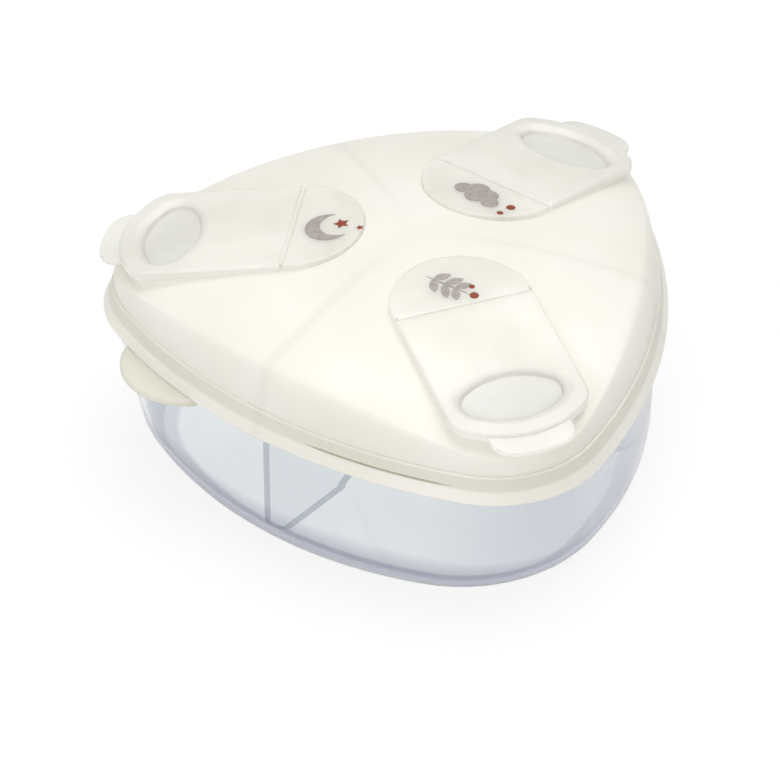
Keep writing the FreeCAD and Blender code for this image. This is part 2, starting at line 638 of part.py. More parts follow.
# Space open to the wings: what the bowl's rim lets through, then a shaft inside the lid's inner lip
shaft = new_body("divider_shaft")
SHAFT_INSET = f"({LIP_INSET} + sizes.seal_lip_wall + sizes.divider_gap)"
shaft_outline = triangle_sketch(shaft, "shaft_outline", LID_PLAN, SHAFT_INSET, f"{LIP_LEVEL} - 2 * {SPARE}")
pad(shaft, "shaft_rise", shaft_outline, f"{DOME_TOP} - {LIP_LEVEL}")
dome_trim(shaft, "shaft_dome", "sizes.dome_radius - sizes.lid_wall - sizes.divider_gap", DOME_CENTRE)
throat = new_body("throat")
throat_outline = triangle_sketch(throat, "throat_outline", LID_PLAN, THROAT_INSET)
pad(throat, "throat_rise", throat_outline, f"{LIP_LEVEL} - sizes.divider_gap")
wings_low = doc.addObject("Part::MultiCommon", "wings_low")
wings_low.Shapes = [wings_full, divider_limit, throat]
wings_high = boolean("Part::Common", "wings_high", wings_full, shaft)
divider = joined("divider", [wings_low, wings_high])

# Flip cap's flap: a plate with a skirt, a hollow plug over the neck and a thumb lip
LIP = ("sizes.flap_length - sizes.lip_root", "sizes.lip_half_width",
       "sizes.flap_length + sizes.lip_reach", "sizes.lip_round")
PLUG_INSET = "(sizes.neck_wall + sizes.plug_gap)"
HOLLOW_INSET = f"({PLUG_INSET} + sizes.plug_wall)"
flap_body = new_body("flap_body")
flap_outline = tongue_sketch(flap_body, "flap_outline", *FLAP)
pad(flap_body, "flap_block", flap_outline, "sizes.skirt_depth", down=True)
doc.recompute()
fillet(flap_body, "flap_round", edges_at(flap_body.Shape, 0.0), "sizes.flap_edge_round")
flap_inside = tongue_sketch(flap_body, "flap_inside", *FLAP, inset="sizes.skirt_wall",
                            level="-1 * sizes.skirt_depth")
pocket(flap_body, "flap_hollow", flap_inside, "sizes.skirt_depth - sizes.flap_top", up=True)
plug_outline = oval_sketch(flap_body, "plug_outline", PLUG_INSET, "-1 * sizes.flap_top")
pad(flap_body, "plug", plug_outline, "sizes.plug_depth - sizes.flap_top", down=True)
plug_inside = oval_sketch(flap_body, "plug_inside", HOLLOW_INSET, "-1 * sizes.plug_depth")
pocket(flap_body, "plug_hollow", plug_inside,
       "sizes.plug_depth - sizes.recess_depth - sizes.plug_floor", up=True)
lip_outline = tongue_sketch(flap_body, "lip_outline", *LIP, level="-1 * sizes.lip_drop")
pad(flap_body, "thumb_lip", lip_outline, "sizes.lip_thickness", down=True)

recess = new_body("recess")
RECESS_LEVELS = (
    (HOLLOW_INSET, "-1 * sizes.recess_depth"),
    (f"({HOLLOW_INSET} - sizes.recess_draft)", "-1 * sizes.recess_flare_depth"),
    (f"({HOLLOW_INSET} - sizes.recess_draft - sizes.recess_flare)", "0"),
)
recess_layers = [oval_sketch(recess, f"recess_{number}", moved_in, level)
                 for number, (moved_in, level) in enumerate(RECESS_LEVELS)]
loft(recess, "recess_flare", recess_layers)
recess_mouth = oval_sketch(recess, "recess_mouth", RECESS_LEVELS[-1][0], "0")
pad(recess, "recess_top", recess_mouth, str(SPARE))

# Dome's sphere in the flap's frame, with the gap to the skirt
DROP = f"({DOME_CENTRE} - {CREASE_LEVEL})"
flap_dome = doc.addObject("Part::Sphere", "flap_dome")
bind(flap_dome, Radius="sizes.dome_radius + sizes.dome_gap",
     Placement__Base__x=f"-1 * sizes.crease_radius * cos(sizes.flap_tilt) - {DROP} * sin(sizes.flap_tilt)",
     Placement__Base__z=f"{DROP} * cos(sizes.flap_tilt) - sizes.crease_radius * sin(sizes.flap_tilt)")
flap_cuts = joined("flap_cuts", [recess, flap_dome])
flap = boolean("Part::Cut", "flap", flap_body, flap_cuts)

# Flip cap's anchor: a half disc let into the dome, held by two pegs
anchor_body = new_body("anchor_body")
anchor_outline = half_disc_sketch(anchor_body, "anchor_outline", "sizes.hinge_half_gap",
                                  "sizes.cap_half_width", "-1 * sizes.anchor_thickness")
pad(anchor_body, "anchor_plate", anchor_outline, "sizes.anchor_thickness")
doc.recompute()
fillet(anchor_body, "anchor_round", edges_at(anchor_body.Shape, 0.0), "sizes.anchor_edge_round")
pegs = peg_pair("pegs", "sizes.peg_radius", PEG_LEVEL, "sizes.peg_length + sizes.anchor_thickness / 2")
anchor = joined("anchor", [anchor_body, pegs])

# Flip cap's hinge: the thin film between the anchor and the flap
film = doc.addObject("Part::Box", "film")
FILM_HALF = "(sizes.hinge_half_gap - sizes.hinge_seam)"
FILM_SIDE = "(sizes.cap_half_width - sizes.hinge_end_gap)"
bind(film, Length=f"{FILM_HALF} * 2", Width=f"{FILM_SIDE} * 2", Height="sizes.hinge_film",
     Placement__Base__x=f"-1 * {FILM_HALF}", Placement__Base__y=f"-1 * {FILM_SIDE}",
     Placement__Base__z="-1 * sizes.hinge_drop - sizes.hinge_film / 2")
doc.recompute()

# Every piece under its own name, ready to be written
pieces = {"bowl": bowl, "divider": divider, "lid": lid}
for side in CORNERS:
    pieces[f"cap_anchor_{side}"] = at_cap(f"cap_anchor_{side}", anchor, side, "sizes.anchor_tilt")
    pieces[f"cap_hinge_{side}"] = at_cap(f"cap_hinge_{side}", film, side,
                                         "(sizes.anchor_tilt + sizes.flap_tilt) / 2")
    pieces[f"cap_flap_{side}"] = at_cap(f"cap_flap_{side}", flap, side, "sizes.flap_tilt")
doc.recompute()

for thing in doc.Objects:
    if "Invalid" in thing.State or "Error" in thing.State:
        raise RuntimeError(f"{thing.Name} failed to rebuild")
os.makedirs("parts", exist_ok=True)
for piece_name, piece in pieces.items():
    piece.Label = piece_name
    shape = piece.Shape
    if shape.isNull() or not shape.isValid() or len(shape.Solids) != 1:
        raise RuntimeError(f"{piece_name} is not one sound solid")
    shape.exportStep(f"parts/{piece_name}.step")
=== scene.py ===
import math

import bmesh
import bpy
from mathutils import Matrix, Vector


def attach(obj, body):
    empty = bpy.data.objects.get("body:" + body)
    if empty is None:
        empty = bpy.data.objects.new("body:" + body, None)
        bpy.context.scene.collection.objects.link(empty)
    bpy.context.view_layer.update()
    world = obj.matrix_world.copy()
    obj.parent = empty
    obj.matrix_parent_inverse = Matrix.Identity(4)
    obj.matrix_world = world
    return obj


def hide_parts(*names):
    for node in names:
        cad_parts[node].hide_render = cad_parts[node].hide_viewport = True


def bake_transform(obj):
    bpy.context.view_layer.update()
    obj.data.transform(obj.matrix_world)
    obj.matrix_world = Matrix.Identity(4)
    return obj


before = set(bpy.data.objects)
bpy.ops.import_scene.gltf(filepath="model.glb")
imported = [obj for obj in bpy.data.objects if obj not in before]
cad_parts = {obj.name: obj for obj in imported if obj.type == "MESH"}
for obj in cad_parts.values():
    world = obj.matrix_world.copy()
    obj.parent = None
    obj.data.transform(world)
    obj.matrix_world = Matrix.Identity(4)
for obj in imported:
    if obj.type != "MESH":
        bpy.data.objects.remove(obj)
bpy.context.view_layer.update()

bl_info = {
    "name": "Milk powder container",
    "version": (1, 0, 0),
    "blender": (4, 5, 0),
    "location": "3D View > Sidebar > Container",
    "description": "Clear three-compartment bowl with a winged divider, a domed lid and three flip caps",
    "category": "Object",
}

IMAGE_WIDTH, IMAGE_HEIGHT = 780, 781
MM = 0.001

# Directions of the three corners, each with its flip cap, and of the divider's wings between them
CORNERS = {"front": -90.0, "right": 30.0, "left": 150.0}
FIRST_WING = -30.0


def length(name, description, default):
    """Size in metres that a user may change."""
    return bpy.props.FloatProperty(name=name, description=description, default=default, unit="LENGTH")


def colour(name, description, default):
    """Colour that a user may change, written as sRGB hex."""
    return bpy.props.StringProperty(name=name, description=description, default=default)


class ContainerSizes(bpy.types.PropertyGroup):
    lid_corner: length("Lid corner", "Centre to the lid's rim at a corner", 0.075)
    lid_side: length("Lid side", "Centre to the lid's rim at the middle of a side", 0.0594)
    lid_round: length("Lid round", "Radius of a corner of the lid", 0.0276)
    floor_corner: length("Floor corner", "Centre to the bowl's floor outline at a corner", 0.0647)
    floor_side: length("Floor side", "Centre to the bowl's floor outline at a side", 0.0563)
    floor_round: length("Floor round", "Radius of a corner of the floor outline", 0.0378)
    floor_edge: length("Floor edge", "Rounding between the bowl's floor and wall", 0.0094)
    bowl_height: length("Bowl height", "Height of the bowl's rim", 0.0402)
    bowl_wall: length("Bowl wall", "Thickness of the bowl", 0.0018)
    bowl_inset: length("Bowl inset", "Bowl's wall inside the lid's rim", 0.0023)
    band_bottom: length("Band bottom", "Level of the lid's lower edge", 0.0351)
    band_top: length("Band top", "Level where the band meets the shoulder", 0.0414)
    band_taper: length("Band taper", "How far the band leans in", 0.0021)
    lid_wall: length("Lid wall", "Thickness of the lid", 0.0016)
    dome_top: length("Dome top", "Height of the dome's crown", 0.0602)
    dome_radius: length("Dome radius", "Radius of the dome's sphere", 0.179)
    wing: length("Wing thickness", "Thickness of the divider's wings", 0.0018)
    crease_radius: length("Crease radius", "Axis to a flip cap's hinge line", 0.0293)
    crease_level: length("Crease level", "Height of a flip cap's hinge line", 0.059)
    cap_half_width: length("Cap half width", "Half the width of a flip cap", 0.017)
    flap_length: length("Flap length", "Hinge line to the flap's end", 0.042)
    flap_tilt: bpy.props.FloatProperty(name="Flap tilt", description="Slope of a closed flap",
                                       default=math.radians(9.9), subtype="ANGLE")
    anchor_tilt: bpy.props.FloatProperty(name="Anchor tilt", description="Slope of a cap's anchor",
                                         default=math.radians(5.4), subtype="ANGLE")


class ContainerColours(bpy.types.PropertyGroup):
    clear: colour("Clear plastic", "Bowl and divider", "F7F9FB")
    lid: colour("Lid", "Milky lid", "F6F4EC")
    lid_shade: colour("Lid shade", "Cloudier patches of the lid", "F2EFE5")
    cap: colour("Caps", "Flip caps", "F7F6F1")
    cap_shade: colour("Cap shade", "Cloudier patches of the caps", "F0EFE9")
    grey_ink: colour("Grey ink", "Main colour of the printed motifs", "A39B95")
    rust_ink: colour("Rust ink", "Accent of the printed motifs", "8A3A1E")
    floor: colour("Floor", "Studio floor", "F7F7F7")


# Fixed details in millimetres
COLLAR_HEIGHT = 6.2
COLLAR_LEAN = 1.3
RIM_WALL = 1.2
RIM_ROUND = 0.5
RIM_GAP = 0.3
SHOULDER_WIDTH = 7.0
SHOULDER_RISE = 12.4
SHOULDER_END = 0.757             # share of the width where the quarter ellipse runs on straight
SHOULDER_BLEND = 1.1
SHOULDER_LEDGE = 0.6             # step between the band's top edge and the shoulder's foot
BAND_ROUND = 0.4
STRIP_HEIGHT = 3.1               # lowest strip of the band, which leans out further
STRIP_LEAN = 1.2
BAND_EDGE = 0.45
SEAL_LIP = 1.2
SEAL_REACH = 3.0
TAB_RADIUS = 16.2
TAB_PLACE = 55.6
TAB_ANGLE = 176.0
TAB_THICKNESS = 2.1
TAB_DROP = 2.0
TAB_ROUND = 0.8
SLOT_LEVEL = 3.4
SLOT_HEIGHT = 0.5
SLOT_DEPTH = 1.2
SLOT_START = 223.0
SLOT_END = 255.0
HUB_RADIUS = 3.4
DIVIDER_GAP = 0.4
DIVIDER_LIFT = 0.03
ANCHOR_THICKNESS = 1.4
ANCHOR_GAP = 0.15
PEG_RADIUS = 1.5
PEG_LENGTH = 2.6
PEG_SPREAD = 8.0
HINGE_GAP = 0.4
HINGE_FILM = 0.35
HINGE_DROP = 0.2
HINGE_END_GAP = 1.0
FLAP_TOP = 1.3
FLAP_BOW = 24.2
FLAP_CORNER = 6.0
EDGE_ROUND = 0.7
SKIRT_DEPTH = 2.2
SKIRT_WALL = 1.1
DOME_GAP = 0.4
LIP_REACH = 5.0
LIP_HALF_WIDTH = 10.0
LIP_CORNER = 5.0
LIP_DROP = 1.0
LIP_THICKNESS = 1.2
PLATFORM_INSET = 1.2
PLATFORM_GAP = 0.3
PLATFORM_FOOT = 0.9
NECK_PLACE = 29.6
NECK_HALF_LENGTH = 14.6
NECK_HALF_WIDTH = 9.2
NECK_END = 6.6
NECK_WALL = 1.3
NECK_TOP_GAP = 0.3
NECK_ROOT = 15.0
PLUG_GAP = 0.25
PLUG_WALL = 1.0
PLUG_DEPTH = 3.9
PLUG_FLOOR = 1.1
RECESS_DEPTH = 2.0
RECESS_DRAFT = 0.2
RECESS_FLARE = 2.2
RECESS_FLARE_DEPTH = 0.9
PRINT_LIFT = 0.02
PRINT_THICKNESS = 0.06

# Camera that matches the photograph: a point on the container's axis and where the picture shows it
CAMERA_AZIMUTH = -21.71
CAMERA_ELEVATION = 34.59
CAMERA_DISTANCE = 0.900
CAMERA_FOCAL_PIXELS = 3852.3
CAMERA_TARGET = Vector((0.0, 0.0, 0.059))
TARGET_PIXEL = (415.54, 234.90)
SENSOR = 36.0


def sizes():
    """Sizes that a user may change, in millimetres."""
    group = bpy.context.scene.container_sizes
    return {name: getattr(group, name) / MM for name in group.__annotations__ if "tilt" not in name}


def tilt(which):
    return getattr(bpy.context.scene.container_sizes, which)


# Plan outlines, as columns of a place on the outline and its outward normal
def plan_columns(corner, side, rounding, per_corner=30, per_side=46):
    """Rounded triangle of three corner arcs and three bowed sides, from the corner at the front round."""
    reach = corner - rounding
    bow = (side ** 2 + reach ** 2 - side * reach - rounding ** 2) / (2 * side - 2 * rounding - reach)
    shift = bow - side
    across = math.atan2(reach * math.sin(math.radians(120)), reach * math.cos(math.radians(120)) - shift)
    half = across - math.radians(120)
    columns = []
    for angle in CORNERS.values():
        turn = math.radians(angle)
        centre = Vector((reach * math.cos(turn), reach * math.sin(turn)))
        for step in range(per_corner):
            way = turn - half + 2 * half * step / per_corner
            normal = Vector((math.cos(way), math.sin(way)))
            columns.append((centre + rounding * normal, normal))
        far = turn + math.radians(240)
        bow_centre = Vector((shift * math.cos(far), shift * math.sin(far)))
        first, last = turn + half, turn + math.radians(120) - half
        for step in range(per_side):
            way = first + (last - first) * step / per_side
            normal = Vector((math.cos(way), math.sin(way)))
            columns.append((bow_centre + bow * normal, normal))
    return columns


def lid_columns(size):
    return plan_columns(size["lid_corner"], size["lid_side"], size["lid_round"])


def wall_columns(size, level):
    """Plan of the bowl's outside at a level between its floor and the foot of its collar."""
    share = level / (size["bowl_height"] - COLLAR_HEIGHT)
    waist = [size["lid_corner"] - size["bowl_inset"], size["lid_side"] - size["bowl_inset"],
             size["lid_round"] - size["bowl_inset"]]
    floor = [size["floor_corner"], size["floor_side"], size["floor_round"]]
    return plan_columns(*[low + (high - low) * share for low, high in zip(floor, waist)])


def ring(columns, inset, level):
    """Points of a plan moved in by inset, at a level."""
    return [Vector((*(place - inset * normal), level)) for place, normal in columns]


def arc_points(start, end, steps):
    """Angles in radians from start to end degrees, both included."""
    return [math.radians(start + (end - start) * step / steps) for step in range(steps + 1)]


def dome_level(size, x, y, less=0.0):
    """Height of the dome over a place, for a sphere smaller by less."""
    radius = size["dome_radius"] - less
    return size["dome_top"] - size["dome_radius"] + math.sqrt(radius ** 2 - x ** 2 - y ** 2)


def soft_lower(first, second, blend):
    """Lower of two heights, rounded off where they meet."""
    near = max(blend - abs(first - second), 0.0) / blend
    return min(first, second) - near ** 2 * blend / 4


# Meshes
def mesh_object(name, points, faces, smooth_angle=35.0):
    """Object at the origin from points in millimetres, with faces outwards and soft shading under an angle."""
    mesh = bpy.data.meshes.new(name)
    mesh.from_pydata([Vector(point) * MM for point in points], [], faces)
    piece = bpy.data.objects.new(name, mesh)
    bpy.context.scene.collection.objects.link(piece)
    settle(piece, smooth_angle)
    return piece


def settle(piece, smooth_angle=35.0):
    """Merge doubles, turn the faces outwards and shade softly under an angle."""
    work = bmesh.new()
    work.from_mesh(piece.data)
    bmesh.ops.remove_doubles(work, verts=work.verts, dist=1e-6)
    bmesh.ops.dissolve_degenerate(work, edges=work.edges, dist=1e-7)
    bmesh.ops.recalc_face_normals(work, faces=work.faces)
    for face in work.faces:
        face.smooth = True
    work.to_mesh(piece.data)
    work.free()
    piece.data.set_sharp_from_angle(angle=math.radians(smooth_angle))


def shell(name, rings, place=None, smooth_angle=35.0):
    """Closed shell through rings of equal count, whose first and last ring are closed by a fan."""
    count = len(rings[0])
    points = [point for layer in rings for point in layer]
    faces = []
    for layer in range(len(rings) - 1):
        for column in range(count):
            following = (column + 1) % count
            low, high = layer * count, (layer + 1) * count
            faces.append((low + column, low + following, high + following, high + column))
    for layer in (0, len(rings) - 1):
        middle = sum(rings[layer], Vector()) / count
        points.append(middle)
        faces += [(layer * count + column, layer * count + (column + 1) % count, len(points) - 1)
                  for column in range(count)]
    if place is not None:
        points = [place @ point for point in points]
    return mesh_object(name, points, faces, smooth_angle)


def combine(piece, tools, operation, smooth_angle=35.0):
    """Join or cut a piece with tools, which are used up."""
    for tool in tools:
        modifier = piece.modifiers.new(operation.title(), "BOOLEAN")
        modifier.operation = operation
        modifier.solver = "EXACT"
        modifier.object = tool
    freeze(piece)
    for tool in tools:
        bpy.data.objects.remove(tool, do_unlink=True)
    settle(piece, smooth_angle)
    return piece


def freeze(piece):
    """Turn a piece's modifiers into plain mesh."""
    bpy.context.view_layer.update()
    graph = bpy.context.evaluated_depsgraph_get()
    mesh = bpy.data.meshes.new_from_object(piece.evaluated_get(graph))
    piece.modifiers.clear()
    piece.data = mesh


def cap_place(size, side, which_tilt):
    """Cap's own frame: origin on the crease, +X out along the flap, +Z its top."""
    turn = Matrix.Rotation(math.radians(CORNERS[side]), 4, "Z")
    crease = Matrix.Translation((size["crease_radius"], 0, size["crease_level"]))
    return turn @ crease @ Matrix.Rotation(tilt(which_tilt), 4, "Y")


def finish_piece(piece, body, slot, material, *nodes):
    """Give a piece its body, its material and the solids that it stands for; slot is not used."""
    if material is not None:
        piece.data.materials.clear()
        piece.data.materials.append(material)
    if body is not None:
        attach(piece, body)
    if nodes:
        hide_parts(*nodes)
    return piece


# Materials
def linear(hex_colour):
    """sRGB hex to linear colour with alpha."""
    channels = [int(hex_colour[start:start + 2], 16) / 255 for start in (0, 2, 4)]
    return [c / 12.92 if c <= 0.04045 else ((c + 0.055) / 1.055) ** 2.4 for c in channels] + [1.0]


def add_node(tree, kind, inputs=None, **settings):
    """Node with its settings, whose inputs are values or other nodes' outputs."""
    node = tree.nodes.new(kind)
    for name, setting in settings.items():
        setattr(node, name, setting)
    for name, source in (inputs or {}).items():
        if isinstance(source, bpy.types.NodeSocket):
            tree.links.new(source, node.inputs[name])
        else:
            node.inputs[name].default_value = source
    return node


def new_material(name):
    """Empty node material and its output node."""
    material = bpy.data.materials.new(name)
    material.use_nodes = True
    material.node_tree.nodes.clear()
    return material, material.node_tree, add_node(material.node_tree, "ShaderNodeOutputMaterial")


def cloudy(tree, first, second, patch, contrast=(0.35, 0.65)):
    """Two colours in soft patches of a size in millimetres, as in thick and thin moulded plastic."""
    place = add_node(tree, "ShaderNodeTexCoord").outputs["Object"]
    noise = add_node(tree, "ShaderNodeTexNoise", {"Vector": place, "Scale": 1000 / patch, "Detail": 2.0})
    ramp = add_node(tree, "ShaderNodeMapRange", {"Value": noise.outputs["Fac"], "From Min": contrast[0],
                                                 "From Max": contrast[1]})
    mix = add_node(tree, "ShaderNodeMix", data_type="RGBA")
    tree.links.new(ramp.outputs["Result"], mix.inputs["Factor"])
    mix.inputs["A"].default_value = linear(first)
    mix.inputs["B"].default_value = linear(second)
    return mix.outputs["Result"]


def texture_bump(tree, grain, height, strength, detail=3.0):
    """Bump of a moulded surface, from its grain and height in millimetres."""
    place = add_node(tree, "ShaderNodeTexCoord").outputs["Object"]
    noise = add_node(tree, "ShaderNodeTexNoise", {"Vector": place, "Scale": 1000 / grain, "Detail": detail})
    return add_node(tree, "ShaderNodeBump", {"Height": noise.outputs["Fac"], "Distance": height * MM,
                                             "Strength": strength}).outputs["Normal"]


def passing_light(tree, surface, share):
    """Surface that lets a share of shadow and diffuse rays straight through, as thin clear plastic does."""
    path = add_node(tree, "ShaderNodeLightPath")
    either = add_node(tree, "ShaderNodeMath", {0: path.outputs["Is Shadow Ray"],
                                               1: path.outputs["Is Diffuse Ray"]}, operation="MAXIMUM")
    part = add_node(tree, "ShaderNodeMath", {0: either.outputs[0], 1: share}, operation="MULTIPLY")
    clear = add_node(tree, "ShaderNodeBsdfTransparent")
    return add_node(tree, "ShaderNodeMixShader", {0: part.outputs[0], 1: surface, 2: clear.outputs[0]}).outputs[0]


def foot_and_right_painted_shade(tree):
    """Painted shade: one low on the bowl's wall, where it rounds into its foot, and part of that towards its right."""
    place = add_node(tree, "ShaderNodeSeparateXYZ", {
        "Vector": add_node(tree, "ShaderNodeTexCoord").outputs["Object"]}).outputs
    fade = add_node(tree, "ShaderNodeMapRange", {"Value": place["Z"], "From Min": 0.007, "From Max": 0.014,
                                                 "To Min": 1.0, "To Max": 0.0})
    wall = add_node(tree, "ShaderNodeMapRange", {"Value": place["Z"], "From Min": 0.0019, "From Max": 0.0022})
    foot = add_node(tree, "ShaderNodeMath", {0: fade.outputs[0], 1: wall.outputs[0]}, operation="MULTIPLY")
    # Painted shade that grows towards the right, away from the light on the left
    right = add_node(tree, "ShaderNodeMapRange", {"Value": place["X"], "From Min": -0.02, "From Max": 0.06,
                                                  "To Min": 0.0, "To Max": 0.65})
    return add_node(tree, "ShaderNodeMath", {0: foot.outputs[0], 1: right.outputs[0]},
                    operation="MAXIMUM").outputs[0]


def clear_copolyester():
    """Injection-moulded clear copolyester, polished tool: glass-like, with slow waves in its thickness."""
    material, tree, output = new_material("clear_copolyester")
    colours = bpy.context.scene.container_colours
    wave = texture_bump(tree, 22.0, 0.25, 0.1, 0.0)
    clear = add_node(tree, "ShaderNodeRGB")
    clear.outputs[0].default_value = linear(colours.clear)
    # Base colour greyed towards B9BCC8 by painted shade low on the wall and towards the right
    surface = add_node(tree, "ShaderNodeBsdfPrincipled", {
        "Base Color": tinted(tree, clear.outputs[0], "B9BCC8", foot_and_right_painted_shade(tree), 1.0),
        "Roughness": 0.02, "IOR": 1.5,
        "Transmission Weight": 1.0, "Normal": wave})
    depth = add_node(tree, "ShaderNodeVolumeAbsorption", {"Color": linear("B4B7C6"), "Density": 8.0})
    tree.links.new(passing_light(tree, surface.outputs["BSDF"], 0.85), output.inputs["Surface"])
    tree.links.new(depth.outputs[0], output.inputs["Volume"])
    return material


def clear_sheet(name, tone):
    """The same copolyester in flat sheets: faint sheen on what is seen through it; the greyer tone given to a sheet's
    edge is painted shade.
    """
    material, tree, output = new_material(name)
    through = add_node(tree, "ShaderNodeBsdfTransparent", {"Color": linear(tone)})
    sheen = add_node(tree, "ShaderNodeBsdfGlossy", {"Color": linear("FFFFFF"), "Roughness": 0.05})
    outside = add_node(tree, "ShaderNodeMath", {
        0: 1.0, 1: add_node(tree, "ShaderNodeNewGeometry").outputs["Backfacing"]}, operation="SUBTRACT")
    share = add_node(tree, "ShaderNodeMath", {
        0: add_node(tree, "ShaderNodeFresnel", {"IOR": 1.4}).outputs[0], 1: outside.outputs[0]},
        operation="MULTIPLY")
    mix = add_node(tree, "ShaderNodeMixShader", {0: share.outputs[0], 1: through.outputs[0],
                                                 2: sheen.outputs[0]})
    tree.links.new(mix.outputs[0], output.inputs["Surface"])
    return material


def wing_shadow(tree):
    """One where a wing of the divider stands close under the lid, fading to none beside it."""
    place = add_node(tree, "ShaderNodeTexCoord").outputs["Object"]
    darkest = None
    for step in range(3):
        turned = add_node(tree, "ShaderNodeVectorRotate", {
            "Vector": place, "Angle": -math.radians(FIRST_WING + 120 * step)}, rotation_type="Z_AXIS")
        part = add_node(tree, "ShaderNodeSeparateXYZ", {"Vector": turned.outputs[0]})
        aside = add_node(tree, "ShaderNodeMath", {0: part.outputs["Y"]}, operation="ABSOLUTE")
        line = add_node(tree, "ShaderNodeMapRange", {"Value": aside.outputs[0], "From Min": 0.0003,
                                                     "From Max": 0.0022, "To Min": 1.0, "To Max": 0.0})
        ahead = add_node(tree, "ShaderNodeMapRange", {"Value": part.outputs["X"], "From Min": 0.006,
                                                      "From Max": 0.02})
        both = add_node(tree, "ShaderNodeMath", {0: line.outputs[0], 1: ahead.outputs[0]},
                        operation="MULTIPLY").outputs[0]
        darkest = both if darkest is None else add_node(
            tree, "ShaderNodeMath", {0: darkest, 1: both}, operation="MAXIMUM").outputs[0]
    return darkest


def tinted(tree, first, second, share, amount):
    """First colour turned towards a second by a share of 0 to 1, at most by an amount."""
    part = add_node(tree, "ShaderNodeMath", {0: share, 1: amount}, operation="MULTIPLY")
    mix = add_node(tree, "ShaderNodeMix", data_type="RGBA")
    tree.links.new(part.outputs[0], mix.inputs["Factor"])
    tree.links.new(first, mix.inputs["A"])
    mix.inputs["B"].default_value = linear(second)
    return mix.outputs["Result"]


def shining_through(tree, colour, surface, share):
    """Surface of which a share passes light scattered, as thin milky plastic does."""
    through = add_node(tree, "ShaderNodeBsdfTranslucent", {"Color": colour})
    return add_node(tree, "ShaderNodeMixShader", {0: share, 1: surface, 2: through.outputs[0]}).outputs[0]


def band_shade(tree):
    """One on the tab and on the band above its lowest strip, where the rim behind it takes the light."""
    level = add_node(tree, "ShaderNodeSeparateXYZ", {
        "Vector": add_node(tree, "ShaderNodeTexCoord").outputs["Object"]}).outputs["Z"]
    size = bpy.context.scene.container_sizes
    low = size.band_bottom + STRIP_HEIGHT * MM
    above = add_node(tree, "ShaderNodeMapRange", {"Value": level, "From Min": low - 0.0003, "From Max": low + 0.0003})
    below = add_node(tree, "ShaderNodeMapRange", {"Value": level, "From Min": size.band_top - 0.0005,
                                                  "From Max": size.band_top - 0.0001, "To Min": 1.0, "To Max": 0.0})
    band = add_node(tree, "ShaderNodeMath", {0: above.outputs[0], 1: below.outputs[0]}, operation="MULTIPLY")
    tab = add_node(tree, "ShaderNodeMath", {0: level, 1: size.band_bottom + 0.0002}, operation="LESS_THAN")
    return add_node(tree, "ShaderNodeMath", {0: band.outputs[0], 1: tab.outputs[0]},
                    operation="MAXIMUM").outputs[0]


def milky_polypropylene():
    """Injection-moulded milky polypropylene, fine satin tool: soft sheen, light comes through its thin wall."""
    material, tree, output = new_material("milky_polypropylene")
    colours = bpy.context.scene.container_colours
    clouds = cloudy(tree, colours.lid, colours.lid_shade, 30.0)
    tint = tinted(tree, clouds, "CFCCC0", wing_shadow(tree), 0.13)
    tint = tinted(tree, tint, "C8C6AE", band_shade(tree), 0.36)
    # Grain of 0.8 mm is drawn coarser than the real spark-eroded one, so that it shows
    surface = add_node(tree, "ShaderNodeBsdfPrincipled", {
        "Base Color": tint, "Roughness": 0.36, "IOR": 1.49, "Normal": texture_bump(tree, 0.8, 0.02, 0.1)})
    mixed = shining_through(tree, tint, surface.outputs["BSDF"], 0.28)
    tree.links.new(mixed, output.inputs["Surface"])
    return material


def natural_polypropylene():
    """Injection-moulded unfilled polypropylene in a thin wall: whitish and half clear, glossy on top."""
    material, tree, output = new_material("natural_polypropylene")
    colours = bpy.context.scene.container_colours
    clouds = cloudy(tree, colours.cap, colours.cap_shade, 18.0)
    surface = add_node(tree, "ShaderNodeBsdfPrincipled", {
        "Base Color": clouds, "Roughness": 0.2, "IOR": 1.49,
        "Transmission Weight": 0.45, "Normal": texture_bump(tree, 1.2, 0.02, 0.08)})
    mixed = shining_through(tree, clouds, surface.outputs["BSDF"], 0.3)
    tree.links.new(passing_light(tree, mixed, 0.6), output.inputs["Surface"])
    return material


def printing_ink(name, hex_colour):
    """Pad-printing ink on plastic: flat and matt, a little uneven at its dots' scale."""
    material, tree, output = new_material(name)
    darker = "".join(f"{int(int(hex_colour[start:start + 2], 16) * 0.9):02X}" for start in (0, 2, 4))
    surface = add_node(tree, "ShaderNodeBsdfPrincipled", {
        "Base Color": cloudy(tree, hex_colour, darker, 1.2), "Roughness": 0.5, "IOR": 1.5})
    tree.links.new(surface.outputs["BSDF"], output.inputs["Surface"])
    return material


def kept(name, maker, *words):
    """Material by name, made once."""
    return bpy.data.materials.get(name) or maker(*words)


def clear_plastic():
    return kept("clear_copolyester", clear_copolyester)


def lid_plastic():
    return kept("milky_polypropylene", milky_polypropylene)


def cap_plastic():
    return kept("natural_polypropylene", natural_polypropylene)


# Bowl
def bowl_rings(size, inset, floor, rim):
    """Rings of one side of the bowl's wall, from its flat floor up to the rim, where it is moved in by rim."""
    rounding = size["floor_edge"] - inset
    floor_columns = wall_columns(size, floor)
    rings = [ring(floor_columns, inset + rounding + inner, floor) for inner in (6.0, 0.5)]
    for way in arc_points(0, 90, 10):
        level = floor + rounding * (1 - math.cos(way))
        rings.append(ring(wall_columns(size, level), inset + rounding * (1 - math.sin(way)), level))
    waist = size["bowl_height"] - COLLAR_HEIGHT
    low = floor + rounding
    for step in range(1, 6):
        level = low + (waist - low) * step / 5
        rings.append(ring(wall_columns(size, level), inset, level))
    columns = lid_columns(size)
    for share in (0.25, 0.5, 0.75):
        moved_in = inset + (COLLAR_LEAN + rim - inset) * share
        rings.append(ring(columns, size["bowl_inset"] + moved_in, waist + COLLAR_HEIGHT * share))
    return rings


